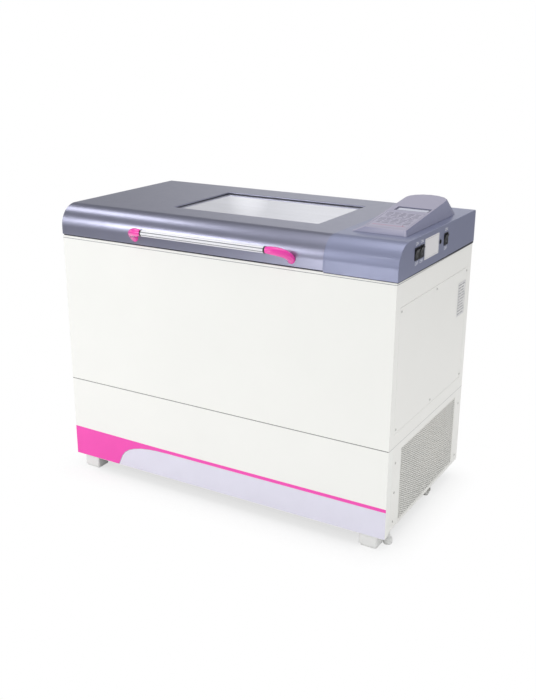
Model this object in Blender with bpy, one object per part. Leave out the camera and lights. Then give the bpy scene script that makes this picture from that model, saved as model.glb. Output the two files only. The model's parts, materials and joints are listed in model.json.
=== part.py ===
"""A floor-standing refrigerated incubated shaker with a hinged lid, as separate pieces.

Metres, +Z up. +X is the right-hand side seen from the front, and the front faces -Y. The shapes are
written about the cabinet's own middle, and the empty named machine shifts them so that the origin lies
on the floor under the middle of the whole machine.
"""

import math

import bmesh
import bpy

# Clearances, joins and cutters
SEAT_GAP = 0.0003
FIT_GAP = 0.0005
RUNNING_GAP = 0.001
COVER_SEAM = 0.0008
WELD = 0.001
OVERRUN = 0.02

# Cabinet
BODY_WIDTH = 1.300
BODY_DEPTH = 0.678
PLINTH_BOTTOM = 0.050
PLINTH_TOP = 0.362
PANEL_SEAM = 0.002
DECK_BOTTOM = 0.904
DECK_THICKNESS = 0.008
SHEET = 0.002
PLINTH_WALL = 0.003
CHEEK_DEPTH = 0.035
CHEEK_RADIUS = 0.020
SIDE_PANEL_BOTTOM = 0.062

# Cover and grille in the right-hand side
COVER_MARGIN = 0.035
COVER_RISE = 0.048
COVER_DROP = 0.079
GRILLE_FRONT_MARGIN = 0.103
GRILLE_BACK_MARGIN = 0.064
GRILLE_RISE = 0.009
GRILLE_DROP = 0.022
GRILLE_SHEET = 0.0012
GRILLE_RIM = 0.012
GRILLE_BAR = 0.006
GRILLE_COLUMNS = 12
GRILLE_ROWS = 6

# Base frame and what it stands on
FRAME_BOTTOM = 0.060
FRAME_BAR = 0.040
FRAME_STEP = 0.003
BEAM_WIDTH = 0.060
POST = 0.020
POST_INSET = 0.001
TRAY_WIDTH = 0.245
TRAY_THICKNESS = 0.004
FOOT_WIDTH = 0.066
FOOT_INSET = 0.030
FOOT_SETBACK = 0.008
FOOT_CORNER = 0.006
FOOT_PAD = 0.008
FOOT_PAD_INSET = 0.004
CASTER_INSET = 0.033
CASTER_FORWARD = 0.234
CASTER_PLATE = 0.066
CASTER_PLATE_THICKNESS = 0.006
CASTER_TRAIL = 0.012
WHEEL_RADIUS = 0.025
WHEEL_WIDTH = 0.018
WHEEL_EDGE = 0.003
AXLE_RADIUS = 0.003
FORK_LEG = 0.003
FORK_LEG_WIDTH = 0.014
FORK_CROWN_RADIUS = 0.018

# Chamber, its insulation and the deck around its mouth
JACKET_THICKNESS = 0.038
JACKET_MARGIN = 0.0067
JACKET_CORNER_GAP = 0.006
MACHINE_BAY_WIDTH = 0.250
CHAMBER_BACK_MARGIN = 0.067
CHAMBER_FLOOR = 0.402
CHAMBER_RADIUS = 0.030
LINER_SHEET = 0.002
LINER_FLANGE = 0.012
GASKET_MARGIN = 0.003
GASKET_WIDTH = 0.012

# Lid
LID_GAP = 0.004
LID_HEIGHT = 0.104
LID_OVERHANG = 0.003
CONTROL_WIDTH = 0.247
LID_SETBACK = 0.001
LID_WALL = 0.003
LID_FRONT_RADIUS = 0.075
LID_BACK_RADIUS = 0.008
LID_LINER_RISE = 0.002
LID_LINER_SHEET = 0.003
WINDOW_LEFT_MARGIN = 0.365
WINDOW_RIGHT_MARGIN = 0.112
WINDOW_FRONT_MARGIN = 0.179
WINDOW_BACK_MARGIN = 0.128
WINDOW_RECESS = 0.007
WINDOW_MARGIN = 0.008
WELL_WALL = 0.004
WELL_CORNER = 0.006
PANE_THICKNESS = 0.005

# Handle
HANDLE_LEFT_MARGIN = 0.393
HANDLE_RIGHT_MARGIN = 0.177
HANDLE_RADIUS = 0.012
HANDLE_FLUTE = 0.0014
HANDLE_FLUTES = 12
HANDLE_STANDOFF = 0.046
HANDLE_RISE = 0.054
HANDLE_FOOT_RISE = 0.027
HANDLE_FOOT_OUT = 0.068
BRACKET_RADIUS = 0.0135
BRACKET_FOOT_RADIUS = 0.016

# Hinge along the back
HINGE_BACK = 0.012
HINGE_SINK = 0.002
HINGE_RADIUS = 0.009
HINGE_PIN_RADIUS = 0.004
HINGE_MARGIN = 0.103
HINGE_KNUCKLES = 5
HINGE_PLATE = 0.002
HINGE_DROP = 0.060
HINGE_LEAF_TOP = 0.060
HINGE_WEB = 0.008
HINGE_WEB_RISE = 0.0035

# Gas struts, whose two pivots are the same distance from the lid's axis
STRUT_REACH = 0.280
STRUT_SPREAD_DEGREES = 65
STRUT_DIP_DEGREES = 1
STRUT_WALL_GAP = 0.015
STRUT_CYLINDER_RADIUS = 0.011
STRUT_CYLINDER_ROOM = 0.046
STRUT_ROD_RADIUS = 0.005
STRUT_ROD_ROOM = 0.018
STRUT_BORE_FLOOR = 0.014
STRUT_STUD_RADIUS = 0.005
STRUT_EYE_RADIUS = 0.009
STRUT_EYE_WIDTH = 0.008
STRUT_PLATE = 0.003
STRUT_PLATE_GAP = 0.001
STRUT_PLATE_REACH = 0.012

# Control housing and its switches
HOUSING_SEAM = 0.004
HOUSING_PROUD = 0.003
HOUSING_WALL = 0.003
BEZEL_PROUD = 0.0015
BEZEL_MARGIN = 0.004
ROCKER_WIDTH = 0.030
ROCKER_HEIGHT = 0.030
ROCKER_DEPTH = 0.012
ROCKER_DISH = 0.002
ROCKER_PROUD = 0.004
ROCKER_PIVOT_DEPTH = 0.004
ROCKER_TILT_DEGREES = 8
ROCKER_SWING_GAP = 0.002
ROCKER_RISE = 0.0615
ROCKER_SETBACKS = (0.1365, 0.1755, 0.3875)
BUTTON_SETBACK = 0.337
BUTTON_RISE = 0.061
BUTTON_RADIUS = 0.005
BUTTON_FLANGE = 0.0025
BUTTON_FLANGE_THICKNESS = 0.002
BUTTON_PROUD = 0.003
BUTTON_TRAVEL = 0.002

# Console
CONSOLE_LEFT_MARGIN = 0.028
CONSOLE_RIGHT_MARGIN = 0.031
CONSOLE_FRONT_MARGIN = 0.124
CONSOLE_BACK_MARGIN = 0.049
CONSOLE_ARCH = 0.100
CONSOLE_LEFT_INSET = 0.030
CONSOLE_RIGHT_INSET = 0.012
CONSOLE_FRONT_INSET = 0.020
CONSOLE_STRAIGHT_INSET = 0.040
CONSOLE_BACK_INSET = 0.090
CONSOLE_FRONT_HEIGHT = 0.014
CONSOLE_RISE = 0.047
CONSOLE_CORNER = 0.010
DISPLAY_LEFT_MARGIN = 0.052
DISPLAY_RIGHT_MARGIN = 0.019
DISPLAY_SETBACK = 0.217
DISPLAY_LENGTH = 0.038
DISPLAY_DEPTH = 0.006
DISPLAY_RECESS = 0.003
KEYPAD_LEFT_MARGIN = 0.039
KEYPAD_RIGHT_MARGIN = 0.020
KEYPAD_SETBACK = 0.037
KEYPAD_LENGTH = 0.160
KEYPAD_THICKNESS = 0.0012
KEY_COUNT = 4
KEY_LENGTH = 0.018
KEY_WIDTH = 0.012
KEY_HEIGHT = 0.005
KEY_PROUD = 0.0012
KEY_TRAVEL = 0.001
KEY_ROW_BACK = 0.060
KEY_FLANGE = 0.0015

# Shaking drive
DRIVE_PLATE_BOTTOM = 0.300
DRIVE_PLATE = 0.010
DRIVE_PLATE_HALF_DEPTH = 0.190
DRIVE_PLATE_END = 0.040
DRIVE_LEG = 0.030
DRIVE_LEG_Y = 0.165
MAIN_COLUMN_RADIUS = 0.040
IDLER_COLUMN_RADIUS = 0.025
COLUMN_HOLE_GAP = 0.002
COLUMN_STANDOUT = 0.016
MAIN_SHAFT_RADIUS = 0.015
IDLER_SHAFT_RADIUS = 0.010
IDLER_INSET = 0.150
ORBIT_RADIUS = 0.013
CRANK_DISC = 0.015
CRANK_PIN_RADIUS = 0.008
CRANK_PIN_LENGTH = 0.030
PLATFORM_BOSS_RADIUS = 0.020
PLATFORM_LEFT_ROOM = 0.0628
PLATFORM_RIGHT_ROOM = 0.017
PLATFORM_SIDE_ROOM = 0.0514
PLATFORM_SHEET = 0.006
PLATFORM_RIM = 0.020
PLATFORM_RIM_WALL = 0.003
PLATFORM_RADIUS = 0.012
CLAMP_PLATE = 0.002
CLAMP_RADIUS = 0.048
CLAMP_BASE_RADIUS = 0.050
CLAMP_BASE = 0.003
CLAMP_FINGER_WIDTH = 0.016
CLAMP_FINGER_SHEET = 0.002
CLAMP_FINGER_HEIGHT = 0.045
CLAMP_FINGERS = 4
CLAMP_COLUMNS = 4
CLAMP_ROWS = 2
MAIN_PULLEY_RADIUS = 0.120
MOTOR_PULLEY_RADIUS = 0.030
PULLEY_THICKNESS = 0.028
BELT_THICKNESS = 0.003
BELT_MARGIN = 0.004
MOTOR_OFFSET = 0.240
MOTOR_RADIUS = 0.055
MOTOR_TOP = 0.245
MOTOR_FLANGE = 0.006
MOTOR_FLANGE_MARGIN = 0.010
MOTOR_SHAFT_RADIUS = 0.007
MOTOR_SHAFT_DEPTH = 0.020

# Air duct and refrigeration
DUCT_DEPTH = 0.060
DUCT_FRONT_MARGIN = 0.089
DUCT_WIDTH = 0.300
DUCT_RISE = 0.098
DUCT_DROP = 0.044
DUCT_SHEET = 0.0015
DUCT_SLOT = 0.010
DUCT_SLOT_MARGIN = 0.030
DUCT_SLOTS = 5
FAN_DROP = 0.134
FAN_RADIUS = 0.052
FAN_OPENING_GAP = 0.006
FAN_THICKNESS = 0.016
FAN_HUB_RADIUS = 0.014
FAN_BLADES = 6
FAN_BLADE_SHEET = 0.002
FAN_BLADE_WIDTH = 0.026
FAN_BLADE_DEGREES = 28
FAN_SHAFT_RADIUS = 0.004
FAN_SHAFT_HOLE = 0.006
FAN_MOTOR_RADIUS = 0.035
FAN_MOTOR_LENGTH = 0.050
FAN_MOTOR_FLANGE = 0.004
EVAPORATOR_DEPTH = 0.034
EVAPORATOR_HEIGHT = 0.170
EVAPORATOR_MARGIN = 0.012
EVAPORATOR_FINS = 16
FIN_GROOVE = 0.012
COMPRESSOR_INSET = 0.150
COMPRESSOR_SETBACK = 0.189
COMPRESSOR_RADIUS = 0.065
COMPRESSOR_HEIGHT = 0.190
COMPRESSOR_BASE = 0.004
COMPRESSOR_BASE_WIDTH = 0.150
CONDENSER_INSET = 0.025
CONDENSER_DEPTH = 0.040
CONDENSER_BACK_MARGIN = 0.084
CONDENSER_WIDTH = 0.210
CONDENSER_HEIGHT = 0.210
CONDENSER_FINS = 18
SHROUD = 0.012
CONDENSER_FAN_RADIUS = 0.085
CONDENSER_FAN_HUB = 0.020
FAN_BRACKET = 0.010
FAN_BRACKET_WIDTH = 0.030
FAN_BOSS = 0.012

# Power inlet in the back panel
INLET_INSET = 0.130
INLET_Z = 0.250
INLET_WIDTH = 0.028
INLET_HEIGHT = 0.022
INLET_DEPTH = 0.026
INLET_FLANGE = 0.010
INLET_FLANGE_THICKNESS = 0.003
INLET_WALL = 0.003
INLET_FLOOR = 0.005
INLET_PIN = 0.003
INLET_PIN_SPREAD = 0.007

# Sides given to round shapes
SMALL_SIDES = 12
ROUND_SIDES = 20
LARGE_SIDES = 32
ARC_STEPS = 4
LONG_ARC_STEPS = 8
SHARP_DEGREES = 38

# Finishes: red, green and blue as seen, out of 255, then roughness and metallic
WHITE_PANEL = (242, 241, 237, 0.42, 0.0)
PLINTH_WHITE = (240, 239, 236, 0.40, 0.0)
LID_GREY = (112, 115, 134, 0.34, 0.25)
HOUSING_GREY = (120, 121, 146, 0.36, 0.25)
CONSOLE_GREY = (158, 158, 176, 0.45, 0.1)
LINER_STEEL = (196, 199, 203, 0.30, 0.9)
DARK_STEEL = (70, 72, 78, 0.50, 0.8)
ZINC = (168, 170, 172, 0.40, 0.9)
ALUMINIUM = (205, 207, 212, 0.28, 1.0)
PINK = (236, 84, 158, 0.22, 0.0)
BLACK_PLASTIC = (22, 22, 26, 0.38, 0.0)
GREY_PLASTIC = (82, 84, 92, 0.50, 0.0)
KEY_PLASTIC = (196, 196, 208, 0.50, 0.0)
PANE = (206, 212, 222, 0.08, 0.0)
DISPLAY = (204, 206, 222, 0.15, 0.0)
FOAM = (222, 206, 160, 0.95, 0.0)
RUBBER = (34, 34, 36, 0.85, 0.0)
FOOT_WHITE = (232, 232, 230, 0.45, 0.0)
COPPER = (176, 104, 70, 0.35, 0.9)

# Places worked out from the sizes above
BODY_HALF_WIDTH = BODY_WIDTH / 2
BODY_FRONT = -BODY_DEPTH / 2
BODY_REAR = BODY_DEPTH / 2
DECK_TOP = DECK_BOTTOM + DECK_THICKNESS
PANEL_BOTTOM = PLINTH_TOP + PANEL_SEAM
PANEL_TOP = DECK_BOTTOM - SEAT_GAP
SIDE_FRONT = BODY_FRONT + SHEET + SEAT_GAP
CHEEK_BACK = BODY_FRONT + CHEEK_DEPTH
COVER_BOTTOM = PLINTH_TOP + COVER_RISE
COVER_TOP = DECK_BOTTOM - COVER_DROP
GRILLE_FRONT = BODY_FRONT + GRILLE_FRONT_MARGIN
GRILLE_BACK = BODY_REAR - GRILLE_BACK_MARGIN
GRILLE_BOTTOM = SIDE_PANEL_BOTTOM + GRILLE_RISE
GRILLE_TOP = PLINTH_TOP - GRILLE_DROP
INLET_X = BODY_HALF_WIDTH - INLET_INSET

FRAME_HALF_WIDTH = BODY_HALF_WIDTH - PLINTH_WALL - FIT_GAP
FRAME_HALF_DEPTH = BODY_DEPTH / 2 - PLINTH_WALL - FIT_GAP
FRAME_TOP = FRAME_BOTTOM + FRAME_BAR
BEAM_TOP = FRAME_TOP - FRAME_STEP
TRAY_LEFT = BODY_HALF_WIDTH - TRAY_WIDTH
POST_OUT_X = FRAME_HALF_WIDTH - POST_INSET
POST_OUT_Y = FRAME_HALF_DEPTH - POST_INSET
POST_IN_X = POST_OUT_X - POST
POST_IN_Y = POST_OUT_Y - POST

JACKET_LEFT = -FRAME_HALF_WIDTH + JACKET_MARGIN
JACKET_RIGHT = BODY_HALF_WIDTH - MACHINE_BAY_WIDTH
JACKET_FRONT = -FRAME_HALF_DEPTH + JACKET_MARGIN
LINER_LEFT = JACKET_LEFT + JACKET_THICKNESS
LINER_RIGHT = JACKET_RIGHT - JACKET_THICKNESS
LINER_FRONT = JACKET_FRONT + JACKET_THICKNESS
LINER_BACK = BODY_REAR - CHAMBER_BACK_MARGIN
JACKET_BACK = LINER_BACK + JACKET_THICKNESS
LINER_BOTTOM = CHAMBER_FLOOR - LINER_SHEET
JACKET_FLOOR = LINER_BOTTOM - FIT_GAP
JACKET_BOTTOM = JACKET_FLOOR - JACKET_THICKNESS
FLANGE_BOTTOM = DECK_TOP + SEAT_GAP
FLANGE_TOP = FLANGE_BOTTOM + LINER_SHEET
CHAMBER_LEFT = LINER_LEFT + LINER_SHEET
CHAMBER_RIGHT = LINER_RIGHT - LINER_SHEET
DUCT_LEFT = CHAMBER_RIGHT - DUCT_DEPTH
DUCT_FRONT = BODY_FRONT + DUCT_FRONT_MARGIN
DUCT_BACK = DUCT_FRONT + DUCT_WIDTH
DUCT_BOTTOM = CHAMBER_FLOOR + DUCT_RISE
DUCT_TOP = DECK_BOTTOM - DUCT_DROP
FAN_Y = (DUCT_FRONT + DUCT_BACK) / 2
FAN_Z = DECK_BOTTOM - FAN_DROP

LID_BOTTOM = DECK_TOP + LID_GAP
LID_TOP = LID_BOTTOM + LID_HEIGHT
LID_LEFT = -BODY_HALF_WIDTH - LID_OVERHANG
LID_RIGHT = BODY_HALF_WIDTH - CONTROL_WIDTH
LID_FRONT = BODY_FRONT + LID_SETBACK
LID_BACK = BODY_REAR - LID_SETBACK
LID_LINER_BOTTOM = LID_BOTTOM + LID_LINER_RISE
LID_LINER_TOP = LID_LINER_BOTTOM + LID_LINER_SHEET
WELL_BOTTOM = LID_TOP - WINDOW_RECESS
PANE_TOP = WELL_BOTTOM - SEAT_GAP
PANE_BOTTOM = PANE_TOP - PANE_THICKNESS
CHIMNEY_TOP = PANE_BOTTOM - SEAT_GAP
WINDOW_LEFT = LID_LEFT + WINDOW_LEFT_MARGIN
WINDOW_RIGHT = LID_RIGHT - WINDOW_RIGHT_MARGIN
WINDOW_FRONT = LID_FRONT + WINDOW_FRONT_MARGIN
WINDOW_BACK = LID_BACK - WINDOW_BACK_MARGIN

HANDLE_LEFT = LID_LEFT + HANDLE_LEFT_MARGIN
HANDLE_RIGHT = LID_RIGHT - HANDLE_RIGHT_MARGIN
HANDLE_Y = LID_FRONT - HANDLE_STANDOFF
HANDLE_Z = LID_BOTTOM + HANDLE_RISE

HINGE_Y = BODY_REAR + HINGE_BACK
HINGE_Z = DECK_TOP - HINGE_SINK
HINGE_LEFT = LID_LEFT + HINGE_MARGIN
HINGE_RIGHT = LID_RIGHT - HINGE_MARGIN
STRUT_FIRST = math.radians(STRUT_DIP_DEGREES)
STRUT_SECOND = math.radians(STRUT_DIP_DEGREES + STRUT_SPREAD_DEGREES)
STRUT_CLOSED_LENGTH = 2 * STRUT_REACH * math.sin((STRUT_SECOND - STRUT_FIRST) / 2)
STRUT_CYLINDER_LENGTH = STRUT_CLOSED_LENGTH - STRUT_CYLINDER_ROOM
STRUT_ROD_LENGTH = STRUT_CLOSED_LENGTH - STRUT_ROD_ROOM
LID_STUD_Y = HINGE_Y - STRUT_REACH * math.cos(STRUT_FIRST)
LID_STUD_Z = HINGE_Z - STRUT_REACH * math.sin(STRUT_FIRST)
WALL_STUD_Y = HINGE_Y - STRUT_REACH * math.cos(STRUT_SECOND)
WALL_STUD_Z = HINGE_Z - STRUT_REACH * math.sin(STRUT_SECOND)
STRUT_LEAN = math.atan2(WALL_STUD_Y - LID_STUD_Y, LID_STUD_Z - WALL_STUD_Z)
STRUT_SIDES = {"left": (CHAMBER_LEFT, 1), "right": (CHAMBER_RIGHT, -1)}

HOUSING_LEFT = LID_RIGHT + HOUSING_SEAM
HOUSING_RIGHT = BODY_HALF_WIDTH + HOUSING_PROUD
HOUSING_FRONT = LID_FRONT - HOUSING_PROUD
HOUSING_BACK = LID_BACK + HOUSING_PROUD
HOUSING_BOTTOM = DECK_TOP + SEAT_GAP
HOUSING_TOP = LID_TOP + HOUSING_PROUD
ROCKER_Z = DECK_TOP + ROCKER_RISE
ROCKER_YS = [BODY_FRONT + setback for setback in ROCKER_SETBACKS]
BUTTON_Y = BODY_FRONT + BUTTON_SETBACK
BUTTON_Z = DECK_TOP + BUTTON_RISE
CONSOLE_LEFT = HOUSING_LEFT + CONSOLE_LEFT_MARGIN
CONSOLE_RIGHT = HOUSING_RIGHT - CONSOLE_RIGHT_MARGIN
CONSOLE_FRONT = BODY_FRONT + CONSOLE_FRONT_MARGIN
CONSOLE_BACK = BODY_REAR - CONSOLE_BACK_MARGIN
CONSOLE_STRAIGHT = CONSOLE_BACK - CONSOLE_ARCH
CONSOLE_BOTTOM = HOUSING_TOP + SEAT_GAP
FACE_FRONT = CONSOLE_FRONT + CONSOLE_FRONT_INSET
FACE_BACK = CONSOLE_BACK - CONSOLE_BACK_INSET
FACE_FRONT_Z = CONSOLE_BOTTOM + CONSOLE_FRONT_HEIGHT
FACE_SLOPE = CONSOLE_RISE / (FACE_BACK - FACE_FRONT)
FACE_TILT = math.atan(FACE_SLOPE)
DISPLAY_BOTTOM = DISPLAY_RECESS + DISPLAY_DEPTH
DISPLAY_LEFT = CONSOLE_LEFT + DISPLAY_LEFT_MARGIN
DISPLAY_RIGHT = CONSOLE_RIGHT - DISPLAY_RIGHT_MARGIN
DISPLAY_FRONT = CONSOLE_FRONT + DISPLAY_SETBACK
DISPLAY_BACK = DISPLAY_FRONT + DISPLAY_LENGTH
KEYPAD_LEFT = CONSOLE_LEFT + KEYPAD_LEFT_MARGIN
KEYPAD_RIGHT = CONSOLE_RIGHT - KEYPAD_RIGHT_MARGIN
KEYPAD_FRONT = CONSOLE_FRONT + KEYPAD_SETBACK
KEYPAD_BACK = KEYPAD_FRONT + KEYPAD_LENGTH

PLATFORM_X = (CHAMBER_LEFT + PLATFORM_LEFT_ROOM, DUCT_LEFT - PLATFORM_RIGHT_ROOM)
PLATFORM_Y = (LINER_FRONT + PLATFORM_SIDE_ROOM, LINER_BACK - PLATFORM_SIDE_ROOM)
DRIVE_X = sum(PLATFORM_X) / 2 - ORBIT_RADIUS
IDLER_SPREAD = (PLATFORM_X[1] - PLATFORM_X[0]) / 2 - IDLER_INSET
DRIVE_Y = sum(PLATFORM_Y) / 2
COLUMN_TOP = CHAMBER_FLOOR + COLUMN_STANDOUT
DRIVE_PLATE_TOP = DRIVE_PLATE_BOTTOM + DRIVE_PLATE
DISC_BOTTOM = COLUMN_TOP + FIT_GAP
DISC_TOP = DISC_BOTTOM + CRANK_DISC
PIN_TOP = DISC_TOP + CRANK_PIN_LENGTH
PLATFORM_BOTTOM = PIN_TOP + RUNNING_GAP
BOSS_BOTTOM = DISC_TOP + RUNNING_GAP
PULLEY_TOP = DRIVE_PLATE_BOTTOM - RUNNING_GAP
PULLEY_BOTTOM = PULLEY_TOP - PULLEY_THICKNESS
MOTOR_X = DRIVE_X + MOTOR_OFFSET
COMPRESSOR_X = BODY_HALF_WIDTH - COMPRESSOR_INSET
COMPRESSOR_Y = BODY_FRONT + COMPRESSOR_SETBACK
IDLER_XS = {"left": DRIVE_X - IDLER_SPREAD, "right": DRIVE_X + IDLER_SPREAD}

FRONT_REACH = -HANDLE_Y + HANDLE_RADIUS
REAR_REACH = HINGE_Y + HINGE_RADIUS
MACHINE_Y = (FRONT_REACH - REAR_REACH) / 2


# Shapes


def new_object(name, mesh):
    made = bpy.data.objects.new(name, mesh)
    bpy.context.scene.collection.objects.link(made)
    made.parent = MACHINE
    return made


def solid(name, points, faces):
    """A closed mesh from its corners and faces, with the faces turned outwards."""
    mesh = bpy.data.meshes.new(name)
    shape = bmesh.new()
    corners = [shape.verts.new(point) for point in points]
    for face in faces:
        shape.faces.new([corners[index] for index in face])
    bmesh.ops.recalc_face_normals(shape, faces=shape.faces)
    shape.to_mesh(mesh)
    shape.free()
    mesh.shade_smooth()
    mesh.set_sharp_from_angle(angle=math.radians(SHARP_DEGREES))
    return new_object(name, mesh)


def loft(name, rings):
    """A solid through rings of equally many points, closed at both ends."""
    count = len(rings[0])
    points = [point for ring in rings for point in ring]
    faces = [range(count), range(len(points) - count, len(points))]
    for start in range(0, len(points) - count, count):
        for index in range(count):
            after = (index + 1) % count
            faces.append((start + index, start + after, start + after + count, start + index + count))
    return solid(name, points, faces)


def placed(axis, first, second, along):
    """The point with these coordinates: the two across the axis, in X, Y, Z order, and the one along it."""
    return {
        "X": (along, first, second),
        "Y": (first, along, second),
        "Z": (first, second, along),
    }[axis]


def prism(name, outline, axis, span):
    return loft(name, [[placed(axis, a, b, along) for a, b in outline] for along in span])


def rectangle(a, b):
    return [(a[0], b[0]), (a[1], b[0]), (a[1], b[1]), (a[0], b[1])]


def box(name, x, y, z):
    return prism(name, rectangle(x, y), "Z", z)


def frame(name, outer, inner, axis, span):
    """A prism with a hole through it, between two outlines of equally many points."""
    count = len(outer)
    points = []
    for along in span:
        for outline in (outer, inner):
            points += [placed(axis, a, b, along) for a, b in outline]
    faces = []
    for index in range(count):
        after = (index + 1) % count
        near = (index, after, after + count, index + count)
        far = tuple(corner + 2 * count for corner in near)
        faces += [near, far]
        for start in (0, count):
            faces.append(
                (start + index, start + after, start + after + 2 * count, start + index + 2 * count)
            )
    return solid(name, points, faces)


def arc(centre, radius, start, end, steps):
    angles = [math.radians(start + (end - start) * step / steps) for step in range(steps + 1)]
    return [(centre[0] + radius * math.cos(a), centre[1] + radius * math.sin(a)) for a in angles]


def circle(centre, radius, sides=ROUND_SIDES):
    return arc(centre, radius, 180 / sides, 360 + 180 / sides, sides)[:-1]


def over_flats(radius, sides=ROUND_SIDES):
    """The corner radius of a many-sided circle whose flats stand at this radius."""
    return radius / math.cos(math.pi / sides)


def rounded(a, b, radius, steps=ARC_STEPS):
    """A rectangle with round corners, from its spans along two axes."""
    corners = (
        ((a[1] - radius, b[1] - radius), 0),
        ((a[0] + radius, b[1] - radius), 90),
        ((a[0] + radius, b[0] + radius), 180),
        ((a[1] - radius, b[0] + radius), 270),
    )
    return [point for centre, start in corners for point in arc(centre, radius, start, start + 90, steps)]


def grown(span, margin):
    return (span[0] - margin, span[1] + margin)


def round_bar(name, axis, centre, radius, span, sides=ROUND_SIDES):
    return prism(name, circle(centre, radius, sides), axis, span)


def helper(obj):
    obj.hide_render = True
    obj.display_type = "WIRE"
    return obj


def combine(target, piece, operation):
    step = target.modifiers.new(piece.name, "BOOLEAN")
    step.operation = operation
    step.solver = "EXACT"
    step.object = helper(piece)


def fuse(target, *pieces):
    for piece in pieces:
        combine(target, piece, "UNION")


def cut(target, *pieces):
    for piece in pieces:
        combine(target, piece, "DIFFERENCE")


def pivot(name, location, lean=0):
    """An empty on a joint's axis, leant about X."""
    made = new_object(name, None)
    made.location = location
    made.rotation_euler = (lean, 0, 0)
    return made


def carry(axle, *pieces):
    """Hangs pieces, written in the cabinet's coordinates, on an upright empty."""
    for piece in pieces:
        piece.parent = axle
        piece.location = [-value for value in axle.location]


def paint(obj, finish):
    red, green, blue, roughness, metallic = finish
    made = bpy.data.materials.new(obj.name)
    made.use_nodes = True
    shader = made.node_tree.nodes["Principled BSDF"]
    linear = [(value / 255) ** 2.2 for value in (red, green, blue)]
    shader.inputs["Base Color"].default_value = (*linear, 1)
    shader.inputs["Roughness"].default_value = roughness
    shader.inputs["Metallic"].default_value = metallic
    made.diffuse_color = (*linear, 1)
    obj.data.materials.append(made)


# Base


def base_frame():
    """A welded frame with two beams, a tray at the right, four posts and a plate over each caster."""
    outer_x = (-FRAME_HALF_WIDTH, FRAME_HALF_WIDTH)
    outer_y = (-FRAME_HALF_DEPTH, FRAME_HALF_DEPTH)
    inner_x = grown(outer_x, -FRAME_BAR)
    inner_y = grown(outer_y, -FRAME_BAR)
    outer = rectangle(outer_x, outer_y)
    inner = rectangle(inner_x, inner_y)
    made = frame("base_frame", outer, inner, "Z", (FRAME_BOTTOM, FRAME_TOP))
    beam_y = grown(inner_y, WELD)
    beam_z = (FRAME_BOTTOM + FRAME_STEP, BEAM_TOP)
    for number, middle in enumerate((IDLER_XS["left"], MOTOR_X)):
        beam_x = (middle - BEAM_WIDTH / 2, middle + BEAM_WIDTH / 2)
        fuse(made, box(f"beam_{number}", beam_x, beam_y, beam_z))
    tray_z = (BEAM_TOP - TRAY_THICKNESS, BEAM_TOP)
    fuse(made, box("machine_tray", (TRAY_LEFT, inner_x[1] + WELD), beam_y, tray_z))
    for side in (-1, 1):
        for end in (-1, 1):
            post_x = sorted((side * POST_IN_X, side * POST_OUT_X))
            post_y = sorted((end * POST_IN_Y, end * POST_OUT_Y))
            post_z = (FRAME_TOP - FRAME_STEP, DECK_BOTTOM - SEAT_GAP)
            fuse(made, box(f"post_{side}_{end}", post_x, post_y, post_z))
        plate_x = sorted((side * (caster_x() - CASTER_PLATE / 2), side * (inner_x[1] + FRAME_BAR / 2)))
        plate_y = (caster_y() - CASTER_PLATE / 2, caster_y() + CASTER_PLATE / 2)
        plate_z = (FRAME_BOTTOM - FRAME_STEP, FRAME_BOTTOM - FRAME_STEP + CASTER_PLATE_THICKNESS)
        fuse(made, box(f"caster_plate_{side}", plate_x, plate_y, plate_z))
    paint(made, DARK_STEEL)


def caster_x():
    return BODY_HALF_WIDTH - CASTER_INSET


def caster_y():
    return BODY_REAR - CASTER_FORWARD


def front_foot(side, sign):
    far = BODY_HALF_WIDTH - FOOT_INSET
    x = sorted((sign * (far - FOOT_WIDTH), sign * far))
    y = (BODY_FRONT + FOOT_SETBACK, BODY_FRONT + FOOT_SETBACK + FOOT_WIDTH)
    top = FRAME_BOTTOM - SEAT_GAP
    wide = rounded(x, y, FOOT_CORNER)
    narrow = rounded(grown(x, -FOOT_PAD_INSET), grown(y, -FOOT_PAD_INSET), FOOT_CORNER)
    levels = ((narrow, 0), (narrow, FOOT_PAD), (wide, FOOT_PAD), (wide, top))
    made = loft(f"front_foot_{side}", [[(a, b, z) for a, b in outline] for outline, z in levels])
    paint(made, FOOT_WHITE)


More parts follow.
